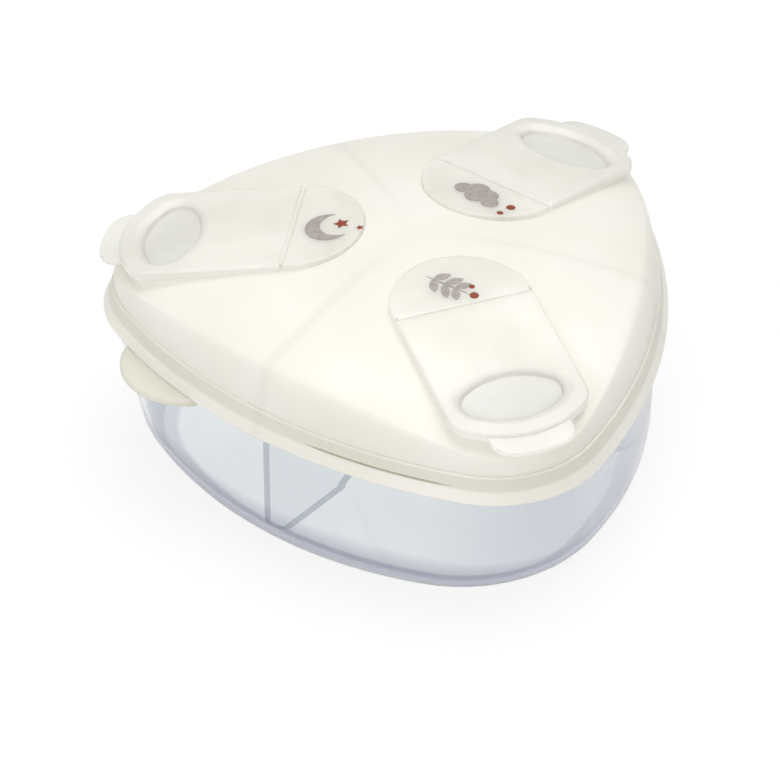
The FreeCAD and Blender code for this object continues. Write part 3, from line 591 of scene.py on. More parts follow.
def rim_rings(size):
    """Rounded top of the bowl's rim, from outside to inside."""
    columns = lid_columns(size)
    outer = size["bowl_inset"] + COLLAR_LEAN
    inner = outer + RIM_WALL
    top = size["bowl_height"]
    rings = []
    for way in arc_points(180, 90, 4):
        rings.append(ring(columns, outer + RIM_ROUND * (1 + math.cos(way)), top - RIM_ROUND * (1 - math.sin(way))))
    for way in arc_points(90, 0, 4):
        rings.append(ring(columns, inner - RIM_ROUND * (1 - math.cos(way)), top - RIM_ROUND * (1 - math.sin(way))))
    return rings


class CONTAINER_OT_bowl(bpy.types.Operator):
    """Clear bowl: a tapering cup with a round-edged floor and a collar under its rim"""
    bl_idname = "container.bowl"
    bl_label = "Bowl"

    def execute(self, context):
        size = sizes()
        outside = bowl_rings(size, 0.0, 0.0, 0.0)
        inside = bowl_rings(size, size["bowl_wall"], size["bowl_wall"], RIM_WALL)
        bowl = shell("bowl_shell", outside + rim_rings(size) + inside[::-1], smooth_angle=50)
        finish_piece(bowl, "bowl", "clear_plastic", clear_plastic(), "bowl")
        return {"FINISHED"}


# Divider
def wing_outline(size):
    """Outline of one wing, as places out from the axis and up, which starts inside the hub."""
    root = HUB_RADIUS / 2
    gap = size["bowl_wall"] + DIVIDER_GAP
    rounding = size["floor_edge"] - gap
    waist = size["bowl_height"] - COLLAR_HEIGHT
    slope = (size["lid_side"] - size["bowl_inset"] - size["floor_side"]) / waist
    floor = size["bowl_wall"] + DIVIDER_LIFT
    outline = [(root, floor)]
    for way in arc_points(0, 90, 8):
        level = floor + rounding * (1 - math.cos(way))
        outline.append((size["floor_side"] + slope * level - gap - rounding * (1 - math.sin(way)), level))
    shelf = size["bowl_height"] - SEAL_REACH - DIVIDER_GAP
    throat = size["lid_side"] - size["bowl_inset"] - COLLAR_LEAN - RIM_WALL - DIVIDER_GAP
    outline = [(min(out, throat), level) for out, level in outline]
    outline.append((throat, shelf))
    shaft = throat + DIVIDER_GAP - RIM_GAP - SEAL_LIP - DIVIDER_GAP
    outline.append((shaft, shelf))
    for step in range(13):
        out = root + (shaft - root) * (1 - step / 12)
        outline.append((out, dome_level(size, out, 0, size["lid_wall"] + DIVIDER_GAP)))
    return outline


def one_wing(size):
    """Wing along +X as a plate with softened edges."""
    half = size["wing"] / 2
    outline = wing_outline(size)
    points = [(out, side, level) for side in (-half, half) for out, level in outline]
    count = len(outline)
    faces = [tuple(range(count)), tuple(range(2 * count - 1, count - 1, -1))]
    faces += [(step, count + step, count + (step + 1) % count, (step + 1) % count) for step in range(count)]
    return mesh_object("wing", points, faces, 30)


def repeat_round(piece, count, first, material):
    """Copies of a piece round the vertical axis, by a node tree with named inputs."""
    tree = bpy.data.node_groups.new("Repeat round the axis", "GeometryNodeTree")
    face = tree.interface
    face.new_socket("Geometry", in_out="INPUT", socket_type="NodeSocketGeometry")
    copies = face.new_socket("Copies", in_out="INPUT", socket_type="NodeSocketInt")
    start = face.new_socket("First angle", in_out="INPUT", socket_type="NodeSocketFloat")
    face.new_socket("Geometry", in_out="OUTPUT", socket_type="NodeSocketGeometry")
    entry = add_node(tree, "NodeGroupInput")
    leaving = add_node(tree, "NodeGroupOutput")
    points = add_node(tree, "GeometryNodePoints", {"Count": entry.outputs["Copies"]})
    index = add_node(tree, "GeometryNodeInputIndex")
    pitch = add_node(tree, "ShaderNodeMath", {0: 2 * math.pi, 1: entry.outputs["Copies"]}, operation="DIVIDE")
    turned = add_node(tree, "ShaderNodeMath", {0: index.outputs[0], 1: pitch.outputs[0],
                                               2: entry.outputs["First angle"]}, operation="MULTIPLY_ADD")
    turn = add_node(tree, "ShaderNodeCombineXYZ", {"Z": turned.outputs[0]})
    placed = add_node(tree, "GeometryNodeInstanceOnPoints", {"Points": points.outputs[0],
                                                             "Instance": entry.outputs["Geometry"],
                                                             "Rotation": turn.outputs[0]})
    real = add_node(tree, "GeometryNodeRealizeInstances", {"Geometry": placed.outputs[0]})
    finish = add_node(tree, "GeometryNodeSetMaterial", {"Geometry": real.outputs[0], "Material": material})
    tree.links.new(finish.outputs[0], leaving.inputs[0])
    modifier = piece.modifiers.new("Repeat", "NODES")
    modifier.node_group = tree
    modifier[copies.identifier] = count
    modifier[start.identifier] = math.radians(first)
    freeze(piece)
    return piece


def upright(name, radius, low, high, count=48, round_edge=0.0):
    """Upright round bar with softened ends."""
    circle = [Vector((math.cos(way), math.sin(way), 0)) for way in arc_points(0, 360, count)[:-1]]
    rings = [[radius * point + Vector((0, 0, level)) for point in circle] for level in (low, high)]
    if round_edge:
        rings = []
        for way in arc_points(0, 90, 4):
            rings.append([(radius - round_edge * (1 - math.sin(way))) * point
                          + Vector((0, 0, low + round_edge * (1 - math.cos(way)))) for point in circle])
        for way in arc_points(90, 180, 4):
            rings.append([(radius - round_edge * (1 - math.sin(way))) * point
                          + Vector((0, 0, high - round_edge * (1 + math.cos(way)))) for point in circle])
    return shell(name, rings)


class CONTAINER_OT_divider(bpy.types.Operator):
    """Clear divider: three wings on a hub, standing on the bowl's floor"""
    bl_idname = "container.divider"
    bl_label = "Divider"

    def is_end(self, face, way):
        """Whether a face closes a wing's end, so that it looks straight out along the wing."""
        return math.cos(3 * way) > 0.9

    def execute(self, context):
        size = sizes()
        sheet = kept("clear_sheet", clear_sheet, "clear_sheet", "FAFBFC")
        # Greyer tone for the wings' ends and top and bottom edges: painted shade where they look dark edge-on
        edge = kept("clear_sheet_edge", clear_sheet, "clear_sheet_edge", "CBCED5")
        wings = repeat_round(one_wing(size), 3, FIRST_WING, sheet)
        hub_top = dome_level(size, HUB_RADIUS, 0, size["lid_wall"] + DIVIDER_GAP)
        hub = upright("hub", HUB_RADIUS, size["bowl_wall"] + DIVIDER_LIFT, hub_top)
        divider = combine(hub, [wings], "UNION", 30)
        divider.name = "divider_wings"
        finish_piece(divider, "divider", "clear_plastic", sheet, "divider")
        divider.data.materials.append(edge)
        # Faces at the wings' ends and edges take the painted shade
        for face in divider.data.polygons:
            way = math.atan2(face.normal.y, face.normal.x) - math.radians(FIRST_WING)
            beyond = face.center.to_2d().length > 1.2 * HUB_RADIUS * MM
            face.material_index = int(beyond and (abs(face.normal.z) > 0.3 or self.is_end(face, way)))
        return {"FINISHED"}


# Lid
def shoulder_level(size, inset, wall):
    """Height of the shoulder at a distance in from the band's top edge."""
    ledge = 0.0 if wall else SHOULDER_LEDGE
    width = SHOULDER_WIDTH - ledge
    share = min(max((inset - ledge) / width, 0.0), SHOULDER_END)
    rise = SHOULDER_RISE * math.sqrt(1 - (1 - share) ** 2)
    slope = SHOULDER_RISE / width * (1 - SHOULDER_END) / math.sqrt(1 - (1 - SHOULDER_END) ** 2)
    beyond = max(inset - ledge - SHOULDER_END * width, 0.0)
    return size["band_top"] + rise + slope * beyond


def vault_rings(size, wall):
    """Rings of the shoulder and the dome, from the band's top edge in to the crown, for a wall's thickness in."""
    columns = lid_columns(size)
    edge = size["band_taper"] + wall
    rings = []

    def heights(inset):
        layer = []
        for place, normal in columns:
            point = place - (edge + inset) * normal
            dome = dome_level(size, point.x, point.y, wall)
            layer.append(Vector((point.x, point.y,
                                 soft_lower(shoulder_level(size, inset, wall), dome, SHOULDER_BLEND))))
        return layer

    insets = [SHOULDER_WIDTH * (1 - math.cos(way)) for way in arc_points(0, 90, 22)]
    if not wall:
        rings += [heights(BAND_ROUND), heights(SHOULDER_LEDGE)]
        insets = [SHOULDER_LEDGE + share * (1 - SHOULDER_LEDGE / SHOULDER_WIDTH) for share in insets[1:]]
    for inset in insets:
        rings.append(heights(inset))
    for inset in (8.0, 9.5, 11.0):
        rings.append(heights(inset))
    last = rings[-1]
    for step in range(1, 20):
        share = 1 - step / 20
        rings.append([Vector((point.x * share, point.y * share,
                              dome_level(size, point.x * share, point.y * share, wall))) for point in last])
    return rings


def lid_rings(size):
    """Whole lid from the crown outside, down round the band, up inside over the inner lip to the ceiling."""
    columns = lid_columns(size)
    taper = size["band_taper"]
    bottom, top = size["band_bottom"], size["band_top"]
    outside = vault_rings(size, 0.0)[::-1]
    rings = list(outside)
    for way in arc_points(0, 75, 5):
        rings.append(ring(columns, taper + BAND_ROUND * (1 - math.sin(way)), top - BAND_ROUND * (1 - math.cos(way))))
    crease = STRIP_LEAN + 0.15
    for inset, level in ((taper, top - BAND_ROUND), ((taper + crease) / 2, (top + bottom + STRIP_HEIGHT) / 2),
                         (crease, bottom + STRIP_HEIGHT + 0.25), (STRIP_LEAN, bottom + STRIP_HEIGHT - 0.1),
                         (STRIP_LEAN / 2, bottom + STRIP_HEIGHT / 2)):
        rings.append(ring(columns, inset, level))
    for way in arc_points(90, 0, 4):
        rings.append(ring(columns, BAND_EDGE * (1 - math.sin(way)), bottom + BAND_EDGE * (1 - math.cos(way))))
    room = size["bowl_inset"] - RIM_GAP
    ledge = size["bowl_height"] + RIM_GAP
    waist = size["bowl_height"] - COLLAR_HEIGHT
    start = room + COLLAR_LEAN * (bottom - waist) / COLLAR_HEIGHT
    end = room + COLLAR_LEAN * (ledge - waist) / COLLAR_HEIGHT
    rings.append(ring(columns, start, bottom))
    rings.append(ring(columns, end, ledge))
    edge = taper + size["lid_wall"]
    rings.append(ring(columns, edge, ledge))
    inside = vault_rings(size, size["lid_wall"])
    lip_outer = size["bowl_inset"] + COLLAR_LEAN + RIM_WALL + RIM_GAP
    lip_inner = lip_outer + SEAL_LIP
    lip_level = size["bowl_height"] - SEAL_REACH
    above = [layer for layer in inside if (columns[0][0] - layer[0].to_2d()).length < lip_outer - 0.2]
    beyond = [layer for layer in inside if (columns[0][0] - layer[0].to_2d()).length > lip_inner + 0.2]
    rings += above
    rings.append(ceiling_ring(size, columns, lip_outer))
    for way in arc_points(0, 90, 3):
        rings.append(ring(columns, lip_outer + 0.4 * (1 - math.cos(way)), lip_level + 0.4 * (1 - math.sin(way))))
    for way in arc_points(90, 0, 3):
        rings.append(ring(columns, lip_inner - 0.4 * (1 - math.cos(way)), lip_level + 0.4 * (1 - math.sin(way))))
    rings.append(ceiling_ring(size, columns, lip_inner))
    rings += beyond
    return rings


def roof_level(size, columns, x, y):
    """Height of the lid's outside over a place."""
    inset = min((place.x - x) * normal.x + (place.y - y) * normal.y for place, normal in columns)
    return soft_lower(shoulder_level(size, max(inset - size["band_taper"], 0.0), 0.0),
                      dome_level(size, x, y), SHOULDER_BLEND)


def ceiling_ring(size, columns, inset):
    """Ring on the lid's ceiling at an inset from the rim's plan."""
    wall = size["lid_wall"]
    points = []
    for place, normal in columns:
        point = place - inset * normal
        level = soft_lower(shoulder_level(size, inset - size["band_taper"] - wall, wall),
                           dome_level(size, point.x, point.y, wall), SHOULDER_BLEND)
        points.append(Vector((point.x, point.y, level)))
    return points


def oval_points(inset, count=72):
    """Outline of the pouring neck in the cap's frame, moved in by inset, from +X round."""
    reach = NECK_HALF_LENGTH - NECK_END
    flat = (reach ** 2 + NECK_HALF_WIDTH ** 2 - NECK_END ** 2) / (2 * (NECK_HALF_WIDTH - NECK_END))
    shift = flat - NECK_HALF_WIDTH
    half = math.pi / 2 - math.atan2(reach, shift)
    outline = []
    quarter = count // 4
    for number, (x, y, radius, first, last) in enumerate((
            (-shift, 0, flat, half - math.pi / 2, math.pi / 2 - half),
            (0, reach, NECK_END, math.pi / 2 - half, math.pi / 2 + half),
            (shift, 0, flat, math.pi / 2 + half, 1.5 * math.pi - half),
            (0, -reach, NECK_END, 1.5 * math.pi - half, 1.5 * math.pi + half))):
        for step in range(quarter):
            way = first + (last - first) * step / quarter
            outline.append(Vector((NECK_PLACE + x + (radius - inset) * math.cos(way),
                                   y + (radius - inset) * math.sin(way))))
    return outline


def oval_post(name, inset, top, bottom, place, round_edge=0.0):
    """Upright oval post in the cap's frame, with a softened top edge."""
    levels = [(inset, bottom), (inset, top)]
    if round_edge:
        levels = [(inset, bottom)] + [(inset + round_edge * (1 - math.sin(way)), top - round_edge * (1 - math.cos(way)))
                                      for way in arc_points(90, 0, 4)]
    rings = [[Vector((point.x, point.y, level)) for point in oval_points(moved_in)] for moved_in, level in levels]
    return shell(name, rings, place)


def half_disc(radius, start, count=48):
    """Outline of a half disc on the anchor's side of the crease, with its straight edge at -start."""
    half = math.acos(start / radius)
    outline = [Vector((radius * math.cos(way), radius * math.sin(way)))
               for way in arc_points(math.degrees(math.pi - half), math.degrees(math.pi + half), count)]
    side = radius * math.sin(half)
    steps = 10
    outline += [Vector((-start, -side + 2 * side * step / steps)) for step in range(1, steps)]
    return outline


def plate(name, outline, levels, place):
    """Closed plate through levels of an outline moved in, each an inset and a level."""
    rings = [[Vector((*inset_point(outline, step, inset), level)) for step in range(len(outline))]
             for inset, level in levels]
    return shell(name, rings, place)


def platform_rings(size, columns, place):
    """Raised part of the lid under a flap, whose walls run out into the dome in a hollow curve."""
    outline = tongue_outline(HINGE_GAP, size["cap_half_width"], size["flap_length"], FLAP_CORNER)
    top = -SKIRT_DEPTH - PLATFORM_GAP
    count = len(outline)
    columns = columns[::3]

    def roof(x, y):
        """Height of the lid's outside over a place in the cap's frame."""
        level = top
        for _ in range(4):
            world = place @ Vector((x, y, level))
            level += roof_level(size, columns, world.x, world.y) - world.z
        return level

    feet = []
    for step in range(count):
        point = inset_point(outline, step, PLATFORM_INSET)
        feet.append(min(max(top - roof(point.x, point.y), 0.05), PLATFORM_FOOT))
    rings = []
    for way in arc_points(0, 90, 4):
        inset = PLATFORM_INSET + 0.4 * (1 - math.sin(way))
        rings.append([Vector((*inset_point(outline, step, inset), top - 0.4 * (1 - math.cos(way))))
                      for step in range(count)])
    for way in arc_points(0, 90, 6):
        layer = []
        for step, foot in enumerate(feet):
            point = inset_point(outline, step, PLATFORM_INSET - foot * (1 - math.cos(way)))
            level = roof(point.x, point.y) + foot * (1 - math.sin(way)) + 0.01
            layer.append(Vector((point.x, point.y, min(level, top - 0.4))))
        rings.append(layer)
    rings.append([point - Vector((0, 0, 1.2)) for point in rings[-1]])
    return rings


class CONTAINER_OT_lid(bpy.types.Operator):
    """Milky lid: band, shoulder and dome in one shell, with a thumb tab, three pouring necks and cap seats"""
    bl_idname = "container.lid"
    bl_label = "Lid"

    def execute(self, context):
        size = sizes()
        lid = shell("lid_shell", lid_rings(size), smooth_angle=40)
        added, cuts = [], []
        for side in CORNERS:
            place = cap_place(size, side, "flap_tilt")
            top = -(FLAP_TOP + NECK_TOP_GAP)
            neck = oval_post(f"neck_{side}", 0.0, top, top - 3.6, place, 0.3)
            added.append(neck)
            added.append(shell(f"platform_{side}", platform_rings(size, lid_columns(size), place), place))
            cuts.append(oval_post(f"bore_{side}", NECK_WALL, top + 1, top - NECK_ROOT, place))
            seat_place = cap_place(size, side, "anchor_tilt")
            outline = half_disc(size["cap_half_width"] + ANCHOR_GAP, HINGE_GAP - ANCHOR_GAP)
            levels = [(0.0, ANCHOR_THICKNESS), (0.0, -ANCHOR_THICKNESS)]
            cuts.append(plate(f"seat_{side}", outline, levels, seat_place))
        cuts.append(self.slot_tool(size))
        lid = combine(lid, added, "UNION", 14)
        lid = combine(lid, cuts, "DIFFERENCE", 14)
        lid.name = "lid_shell"
        finish_piece(lid, "lid", "lid_plastic", lid_plastic(), "lid")
        tab = self.thumb_tab(size)
        finish_piece(tab, "lid", "lid_plastic", lid_plastic())
        return {"FINISHED"}

    def slot_tool(self, size):
        """Bar along the band's front left, for the narrow slot that the mould leaves there."""
        level = size["band_bottom"] + SLOT_LEVEL
        strip = []
        for place, normal in lid_columns(size):
            angle = math.degrees(math.atan2(place.y, place.x)) % 360
            if SLOT_START < angle < SLOT_END:
                taper = min((angle - SLOT_START) / 4, 1.0, (SLOT_END - angle) / 4)
                half = SLOT_HEIGHT / 2 * max(taper, 0.15)
                outer, inner = place + 1.0 * normal, place - (STRIP_LEAN + SLOT_DEPTH * max(taper, 0.3)) * normal
                strip.append((angle, [Vector((*outer, level - half)), Vector((*outer, level + half)),
                                      Vector((*inner, level + half)), Vector((*inner, level - half))]))
        strip.sort(key=lambda entry: entry[0])
        return shell("slot", [section for _, section in strip])

    def thumb_tab(self, size):
        """Disc that stands out past the rim, with its inner part inside the band."""
        way = math.radians(TAB_ANGLE)
        place = Matrix.Translation((TAB_PLACE * math.cos(way), TAB_PLACE * math.sin(way), 0))
        low = size["band_bottom"] - TAB_DROP
        tab = upright("thumb_tab", TAB_RADIUS, low, low + TAB_THICKNESS, 96, TAB_ROUND)
        tab.data.transform(Matrix.Scale(1 / MM, 4))
        tab.data.transform(place)
        tab.data.transform(Matrix.Scale(MM, 4))
        columns = lid_columns(size)
        core = shell("core", [ring(columns, 1.0, size["band_bottom"] - 5), ring(columns, 1.0, size["band_top"])])
        return combine(tab, [core], "DIFFERENCE", 35)


# Flip caps
def tongue_outline(start, half_width, tip, rounding):
    """Flap-like outline as points: square at its start, straight sides, round corners and a bowed end."""
    end = tip - FLAP_BOW
    round_up = half_width - rounding
    round_out = end + math.sqrt((FLAP_BOW - rounding) ** 2 - round_up ** 2)
    turn = math.atan2(round_up, round_out - end)
    upper = [Vector((end + FLAP_BOW * math.cos(way), FLAP_BOW * math.sin(way)))
             for way in arc_points(0, math.degrees(turn), 40)]
    upper += [Vector((round_out + rounding * math.cos(way), round_up + rounding * math.sin(way)))
              for way in arc_points(math.degrees(turn), 90, 12)][1:]
    steps = 14
    upper += [Vector((round_out + (start - round_out) * step / steps, half_width)) for step in range(1, steps + 1)]
    back = [Vector((start, half_width * (1 - step / 10))) for step in range(1, 10)]
    lower = [Vector((point.x, -point.y)) for point in upper[::-1]]
    return upper + back + lower[:-1]


def ray_hit(outline, middle, way):
    """Furthest place where a ray from the middle crosses a closed outline, or None."""
    direction = Vector((math.cos(way), math.sin(way)))
    best = None
    for first, second in zip(outline, outline[1:] + outline[:1]):
        edge = second - first
        cross = direction.x * edge.y - direction.y * edge.x
        if abs(cross) < 1e-9:
            continue
        gap = first - middle
        out = (gap.x * edge.y - gap.y * edge.x) / cross
        along = (gap.x * direction.y - gap.y * direction.x) / cross
        if out > 0 and -1e-6 <= along <= 1 + 1e-6 and (best is None or out > best):
            best = out
    return None if best is None else middle + best * direction


def inset_point(outline, step, inset):
    """Point of a closed outline moved in by inset, square to it; sharp corners are mitred."""
    count = len(outline)
    before = (outline[step] - outline[step - 1]).normalized()
    after = (outline[(step + 1) % count] - outline[step]).normalized()
    first = Vector((before.y, -before.x))
    second = Vector((after.y, -after.x))
    middle = (first + second).normalized()
    return outline[step] - middle * (inset / max(middle.dot(first), 0.4))


def flap_rings(size):
    """Whole flap from the middle of its recess, over its top and skirt, to the middle of its plug below."""
    middle = Vector((NECK_PLACE, 0.0))
    outline = tongue_outline(HINGE_GAP, size["cap_half_width"], size["flap_length"], FLAP_CORNER)
    lip = tongue_outline(size["flap_length"] - 2.7, LIP_HALF_WIDTH, size["flap_length"] + LIP_REACH, LIP_CORNER)
    ways = [math.atan2(point.y, point.x - NECK_PLACE) for point in outline]

    def around(closed):
        return [ray_hit(closed, middle, way) for way in ways]

    def oval(inset, level):
        return [Vector((point.x, point.y, level)) for point in around(oval_points(inset, 160))]

    def skirt(inset, level):
        return [Vector((*inset_point(outline, step, inset), level)) for step in range(len(outline))]

    def lipped(inset, level):
        """Lip's outline moved in, or the plain skirt where it has no lip."""
        layer = []
        for step, way in enumerate(ways):
            own = inset_point(outline, step, 0.0)
            far = ray_hit(lip, middle, way)
            if far is not None:
                far = far - inset * Vector((math.cos(way), math.sin(way)))
            if far is not None and (far - middle).length > (own - middle).length + 0.15:
                layer.append(Vector((*far, level)))
            else:
                layer.append(Vector((*own, max(level, -SKIRT_DEPTH + 0.3))))
        return layer

    def shared(first, second, share):
        return [a.lerp(b, share) for a, b in zip(first, second)]

    plug_inset = NECK_WALL + PLUG_GAP
    hollow = plug_inset + PLUG_WALL
    mouth = hollow - RECESS_DRAFT - RECESS_FLARE
    rings = [oval(hollow + 3.0, -RECESS_DEPTH), oval(hollow + 0.5, -RECESS_DEPTH),
             oval(hollow + 0.12, -RECESS_DEPTH + 0.12), oval(hollow - 0.1, -RECESS_DEPTH + 0.5),
             oval(hollow - RECESS_DRAFT, -RECESS_FLARE_DEPTH - 0.15),
             oval(hollow - RECESS_DRAFT - 0.25, -RECESS_FLARE_DEPTH + 0.1),
             oval((hollow + mouth) / 2 - 0.1, -RECESS_FLARE_DEPTH / 2 + 0.12),
             oval(mouth + 0.3, -0.08), oval(mouth, 0.0), oval(mouth - 0.35, 0.0)]
    edge = skirt(EDGE_ROUND, 0.0)
    for share in (0.3, 0.65):
        rings.append(shared(rings[9], edge, share))
    for way in arc_points(0, 90, 5):
        rings.append(skirt(EDGE_ROUND * (1 - math.sin(way)), -EDGE_ROUND * (1 - math.cos(way))))
    rings.append(skirt(0.0, -LIP_DROP))
    for way in arc_points(0, 90, 4):
        rings.append(lipped(0.5 * (1 - math.sin(way)), -LIP_DROP - 0.5 * (1 - math.cos(way))))
    for way in arc_points(90, 0, 3):
        rings.append(lipped(0.4 * (1 - math.sin(way)), -LIP_DROP - LIP_THICKNESS + 0.4 * (1 - math.cos(way))))
    for way in arc_points(60, 0, 2):
        rings.append(skirt(0.3 * (1 - math.sin(way)), -SKIRT_DEPTH + 0.3 * (1 - math.cos(way))))
    for way in arc_points(0, 90, 3):
        rings.append(skirt(SKIRT_WALL - 0.3 * (1 - math.sin(way)), -SKIRT_DEPTH + 0.3 * (1 - math.cos(way))))
    rings.append(skirt(SKIRT_WALL, -FLAP_TOP))
    base = oval(plug_inset, -FLAP_TOP)
    for share in (0.4, 0.75):
        rings.append(shared(rings[-1] if share == 0.4 else rings[-2], base, share))
    rings.append(base)
    rings += [oval(plug_inset, -PLUG_DEPTH + 0.3), oval(plug_inset + 0.25, -PLUG_DEPTH),
              oval(hollow, -PLUG_DEPTH), oval(hollow, -RECESS_DEPTH - PLUG_FLOOR),
              oval(hollow + 3.0, -RECESS_DEPTH - PLUG_FLOOR)]
    return rings


def clear_dome(size, rings):
    """Lift the flap's underside clear of the dome."""
    slope = tilt("flap_tilt")
    drop = size["dome_top"] - size["dome_radius"] - size["crease_level"]
    out = -size["crease_radius"] * math.cos(slope) - drop * math.sin(slope)
    up = drop * math.cos(slope) - size["crease_radius"] * math.sin(slope)
    radius = size["dome_radius"] + DOME_GAP
    for layer in rings:
        for point in layer:
            lowest = up + math.sqrt(radius ** 2 - (point.x - out) ** 2 - point.y ** 2)
            if point.z < lowest and point.z < -0.3 and abs(point.x) < 28:
                point.z = min(lowest, -0.3)
    return rings


class CONTAINER_OT_flaps(bpy.types.Operator):
    """Flaps of the flip caps: a skirted plate with a hollow plug over the neck and a thumb lip"""
    bl_idname = "container.flaps"
    bl_label = "Flaps"

    def execute(self, context):
        size = sizes()
        for side in CORNERS:
            rings = clear_dome(size, flap_rings(size))
            flap = shell(f"flap_{side}", rings, cap_place(size, side, "flap_tilt"), 40)
            finish_piece(flap, f"flap_{side}", "cap_plastic", cap_plastic(), f"cap_flap_{side}")
        return {"FINISHED"}


class CONTAINER_OT_anchors(bpy.types.Operator):
    """Anchors of the flip caps: half discs let into the dome, each held by two pegs"""
    bl_idname = "container.anchors"
    bl_label = "Anchors"

    def execute(self, context):
        size = sizes()
        for side in CORNERS:
            place = cap_place(size, side, "anchor_tilt")
            outline = half_disc(size["cap_half_width"], HINGE_GAP)
            edge = 0.45
            levels = [(edge + 0.5, 0.0)]
            levels += [(edge * (1 - math.sin(way)), -edge * (1 - math.cos(way))) for way in arc_points(0, 90, 4)]
            levels += [(0.0, -ANCHOR_THICKNESS + 0.1), (0.1, -ANCHOR_THICKNESS)]
            anchor = plate(f"anchor_{side}", outline, levels, place)
            pegs = []
            for hand in (1, -1):
                peg = upright("peg", PEG_RADIUS, -ANCHOR_THICKNESS - PEG_LENGTH, -ANCHOR_THICKNESS / 2, 32)
                peg.data.transform(Matrix.Scale(1 / MM, 4))
                peg.data.transform(place @ Matrix.Translation((-PEG_SPREAD, hand * PEG_SPREAD, 0)))
                peg.data.transform(Matrix.Scale(MM, 4))
                pegs.append(peg)
            anchor = combine(anchor, pegs, "UNION", 35)
            anchor.name = f"anchor_{side}"
            finish_piece(anchor, "lid", "cap_plastic", cap_plastic(), f"cap_anchor_{side}")
        return {"FINISHED"}


# Printed motifs, drawn in millimetres about their own middle
def circle_motif(x, y, radius, steps=40):
    return [Vector((x + radius * math.cos(way), y + radius * math.sin(way)))
            for way in arc_points(0, 360, steps)[:-1]]


def moon_motif(radius, bite, shift):
    """Crescent between a circle and a smaller one moved along +X."""
    meet = (radius ** 2 - bite ** 2 + shift ** 2) / (2 * shift)
    outer = math.degrees(math.acos(meet / radius))
    inner = math.degrees(math.acos((meet - shift) / bite))
    points = [Vector((radius * math.cos(way), radius * math.sin(way))) for way in arc_points(outer, 360 - outer, 48)]
    points += [Vector((shift + bite * math.cos(way), bite * math.sin(way)))
               for way in arc_points(360 - inner, inner, 36)[1:-1]]
    return points


def star_motif(x, y, radius, points=5):
    """Plump star."""
    outline = []
    for step in range(2 * points):
        reach = radius if step % 2 == 0 else radius * 0.52
        way = math.pi * step / points + math.pi / 2
        outline.append(Vector((x + reach * math.cos(way), y + reach * math.sin(way))))
    return outline


def cloud_motif():
    """Outline of five overlapping puffs, seen from their middle."""
    puffs = ((-4.4, -0.6, 2.3), (-1.6, 1.4, 2.9), (1.9, 1.2, 2.6), (4.4, -0.7, 2.2), (0.0, -1.2, 2.6))
    outline = []
    for way in arc_points(0, 360, 120)[:-1]:
        direction = Vector((math.cos(way), math.sin(way)))
        best = 0.0
        for x, y, radius in puffs:
            along = x * direction.x + y * direction.y
            aside = x ** 2 + y ** 2 - along ** 2
            if aside < radius ** 2:
                best = max(best, along + math.sqrt(radius ** 2 - aside))
        outline.append(best * direction)
    return outline


def leaf_motif(x, y, length, width, angle):
    """Pointed leaf that starts at a place."""
    turn = math.radians(angle)
    along, across = Vector((math.cos(turn), math.sin(turn))), Vector((-math.sin(turn), math.cos(turn)))
    lower = [(share, -math.sin(math.pi * share) ** 0.8) for share in [step / 16 for step in range(17)]]
    upper = [(share, -bulge) for share, bulge in lower[-2:0:-1]]
    return [Vector((x, y)) + along * length * share + across * width / 2 * bulge for share, bulge in lower + upper]


def sprig_motif():
    """Stem with three pairs of leaves."""
    leaves = [leaf_motif(-5.4, 0, 11.6, 0.7, 0)]
    for place, size in ((-3.4, 4.4), (-0.4, 4.8), (2.4, 4.0)):
        leaves += [leaf_motif(place, hand * 0.2, size, 2.1, hand * 52) for hand in (1, -1)]
    return leaves


# Each cap's motifs: ink, middle in the anchor's frame, turn in degrees, outlines
MOTIFS = {
    "left": (("grey", (-8.6, 1.2), 205, [moon_motif(5.4, 4.4, 2.6)]),
             ("rust", (-8.6, 1.2), 205, [star_motif(3.4, 0.2, 2.0), star_motif(6.9, -3.2, 1.0)])),
    "right": (("grey", (-7.6, -1.6), 262, [cloud_motif()]),
              ("rust", (-7.6, -1.6), 262, [circle_motif(9.2, 1.6, 1.1), circle_motif(9.4, -2.2, 0.8)])),
    "front": (("grey", (-7.4, -1.4), 38, sprig_motif()),
              ("rust", (-7.4, -1.4), 38, [circle_motif(7.4, 0.2, 1.1), circle_motif(5.4, 2.6, 0.7)])),
}


def thin_print(name, outlines, middle, turn, place):
    """Layer of ink on an anchor's top face, one flat plate for each outline."""
    spin = Matrix.Rotation(math.radians(turn), 4, "Z")
    spot = place @ Matrix.Translation((*middle, 0)) @ spin
    points, faces = [], []
    for outline in outlines:
        count, start = len(outline), len(points)
        for level in (PRINT_LIFT, PRINT_LIFT + PRINT_THICKNESS):
            points += [spot @ Vector((point.x, point.y, level)) for point in outline]
        faces.append(tuple(range(start + count - 1, start - 1, -1)))
        faces.append(tuple(range(start + count, start + 2 * count)))
        faces += [(start + step, start + (step + 1) % count, start + count + (step + 1) % count,
                   start + count + step) for step in range(count)]
    return mesh_object(name, points, faces, 20)


class CONTAINER_OT_prints(bpy.types.Operator):
    """Motifs printed on the caps' anchors: a moon with stars, a cloud with drops and a sprig with berries"""
    bl_idname = "container.prints"
    bl_label = "Prints"

    def execute(self, context):
        size = sizes()
        colours = context.scene.container_colours
        inks = {"grey": ("grey_ink", colours.grey_ink), "rust": ("rust_ink", colours.rust_ink)}
        for side, layers in MOTIFS.items():
            place = cap_place(size, side, "anchor_tilt")
            for ink, middle, turn, outlines in layers:
                layer = thin_print(f"print_{side}_{ink}", outlines, middle, turn, place)
                name, tone = inks[ink]
                finish_piece(layer, "lid", None, kept(name, printing_ink, name, tone))
        return {"FINISHED"}


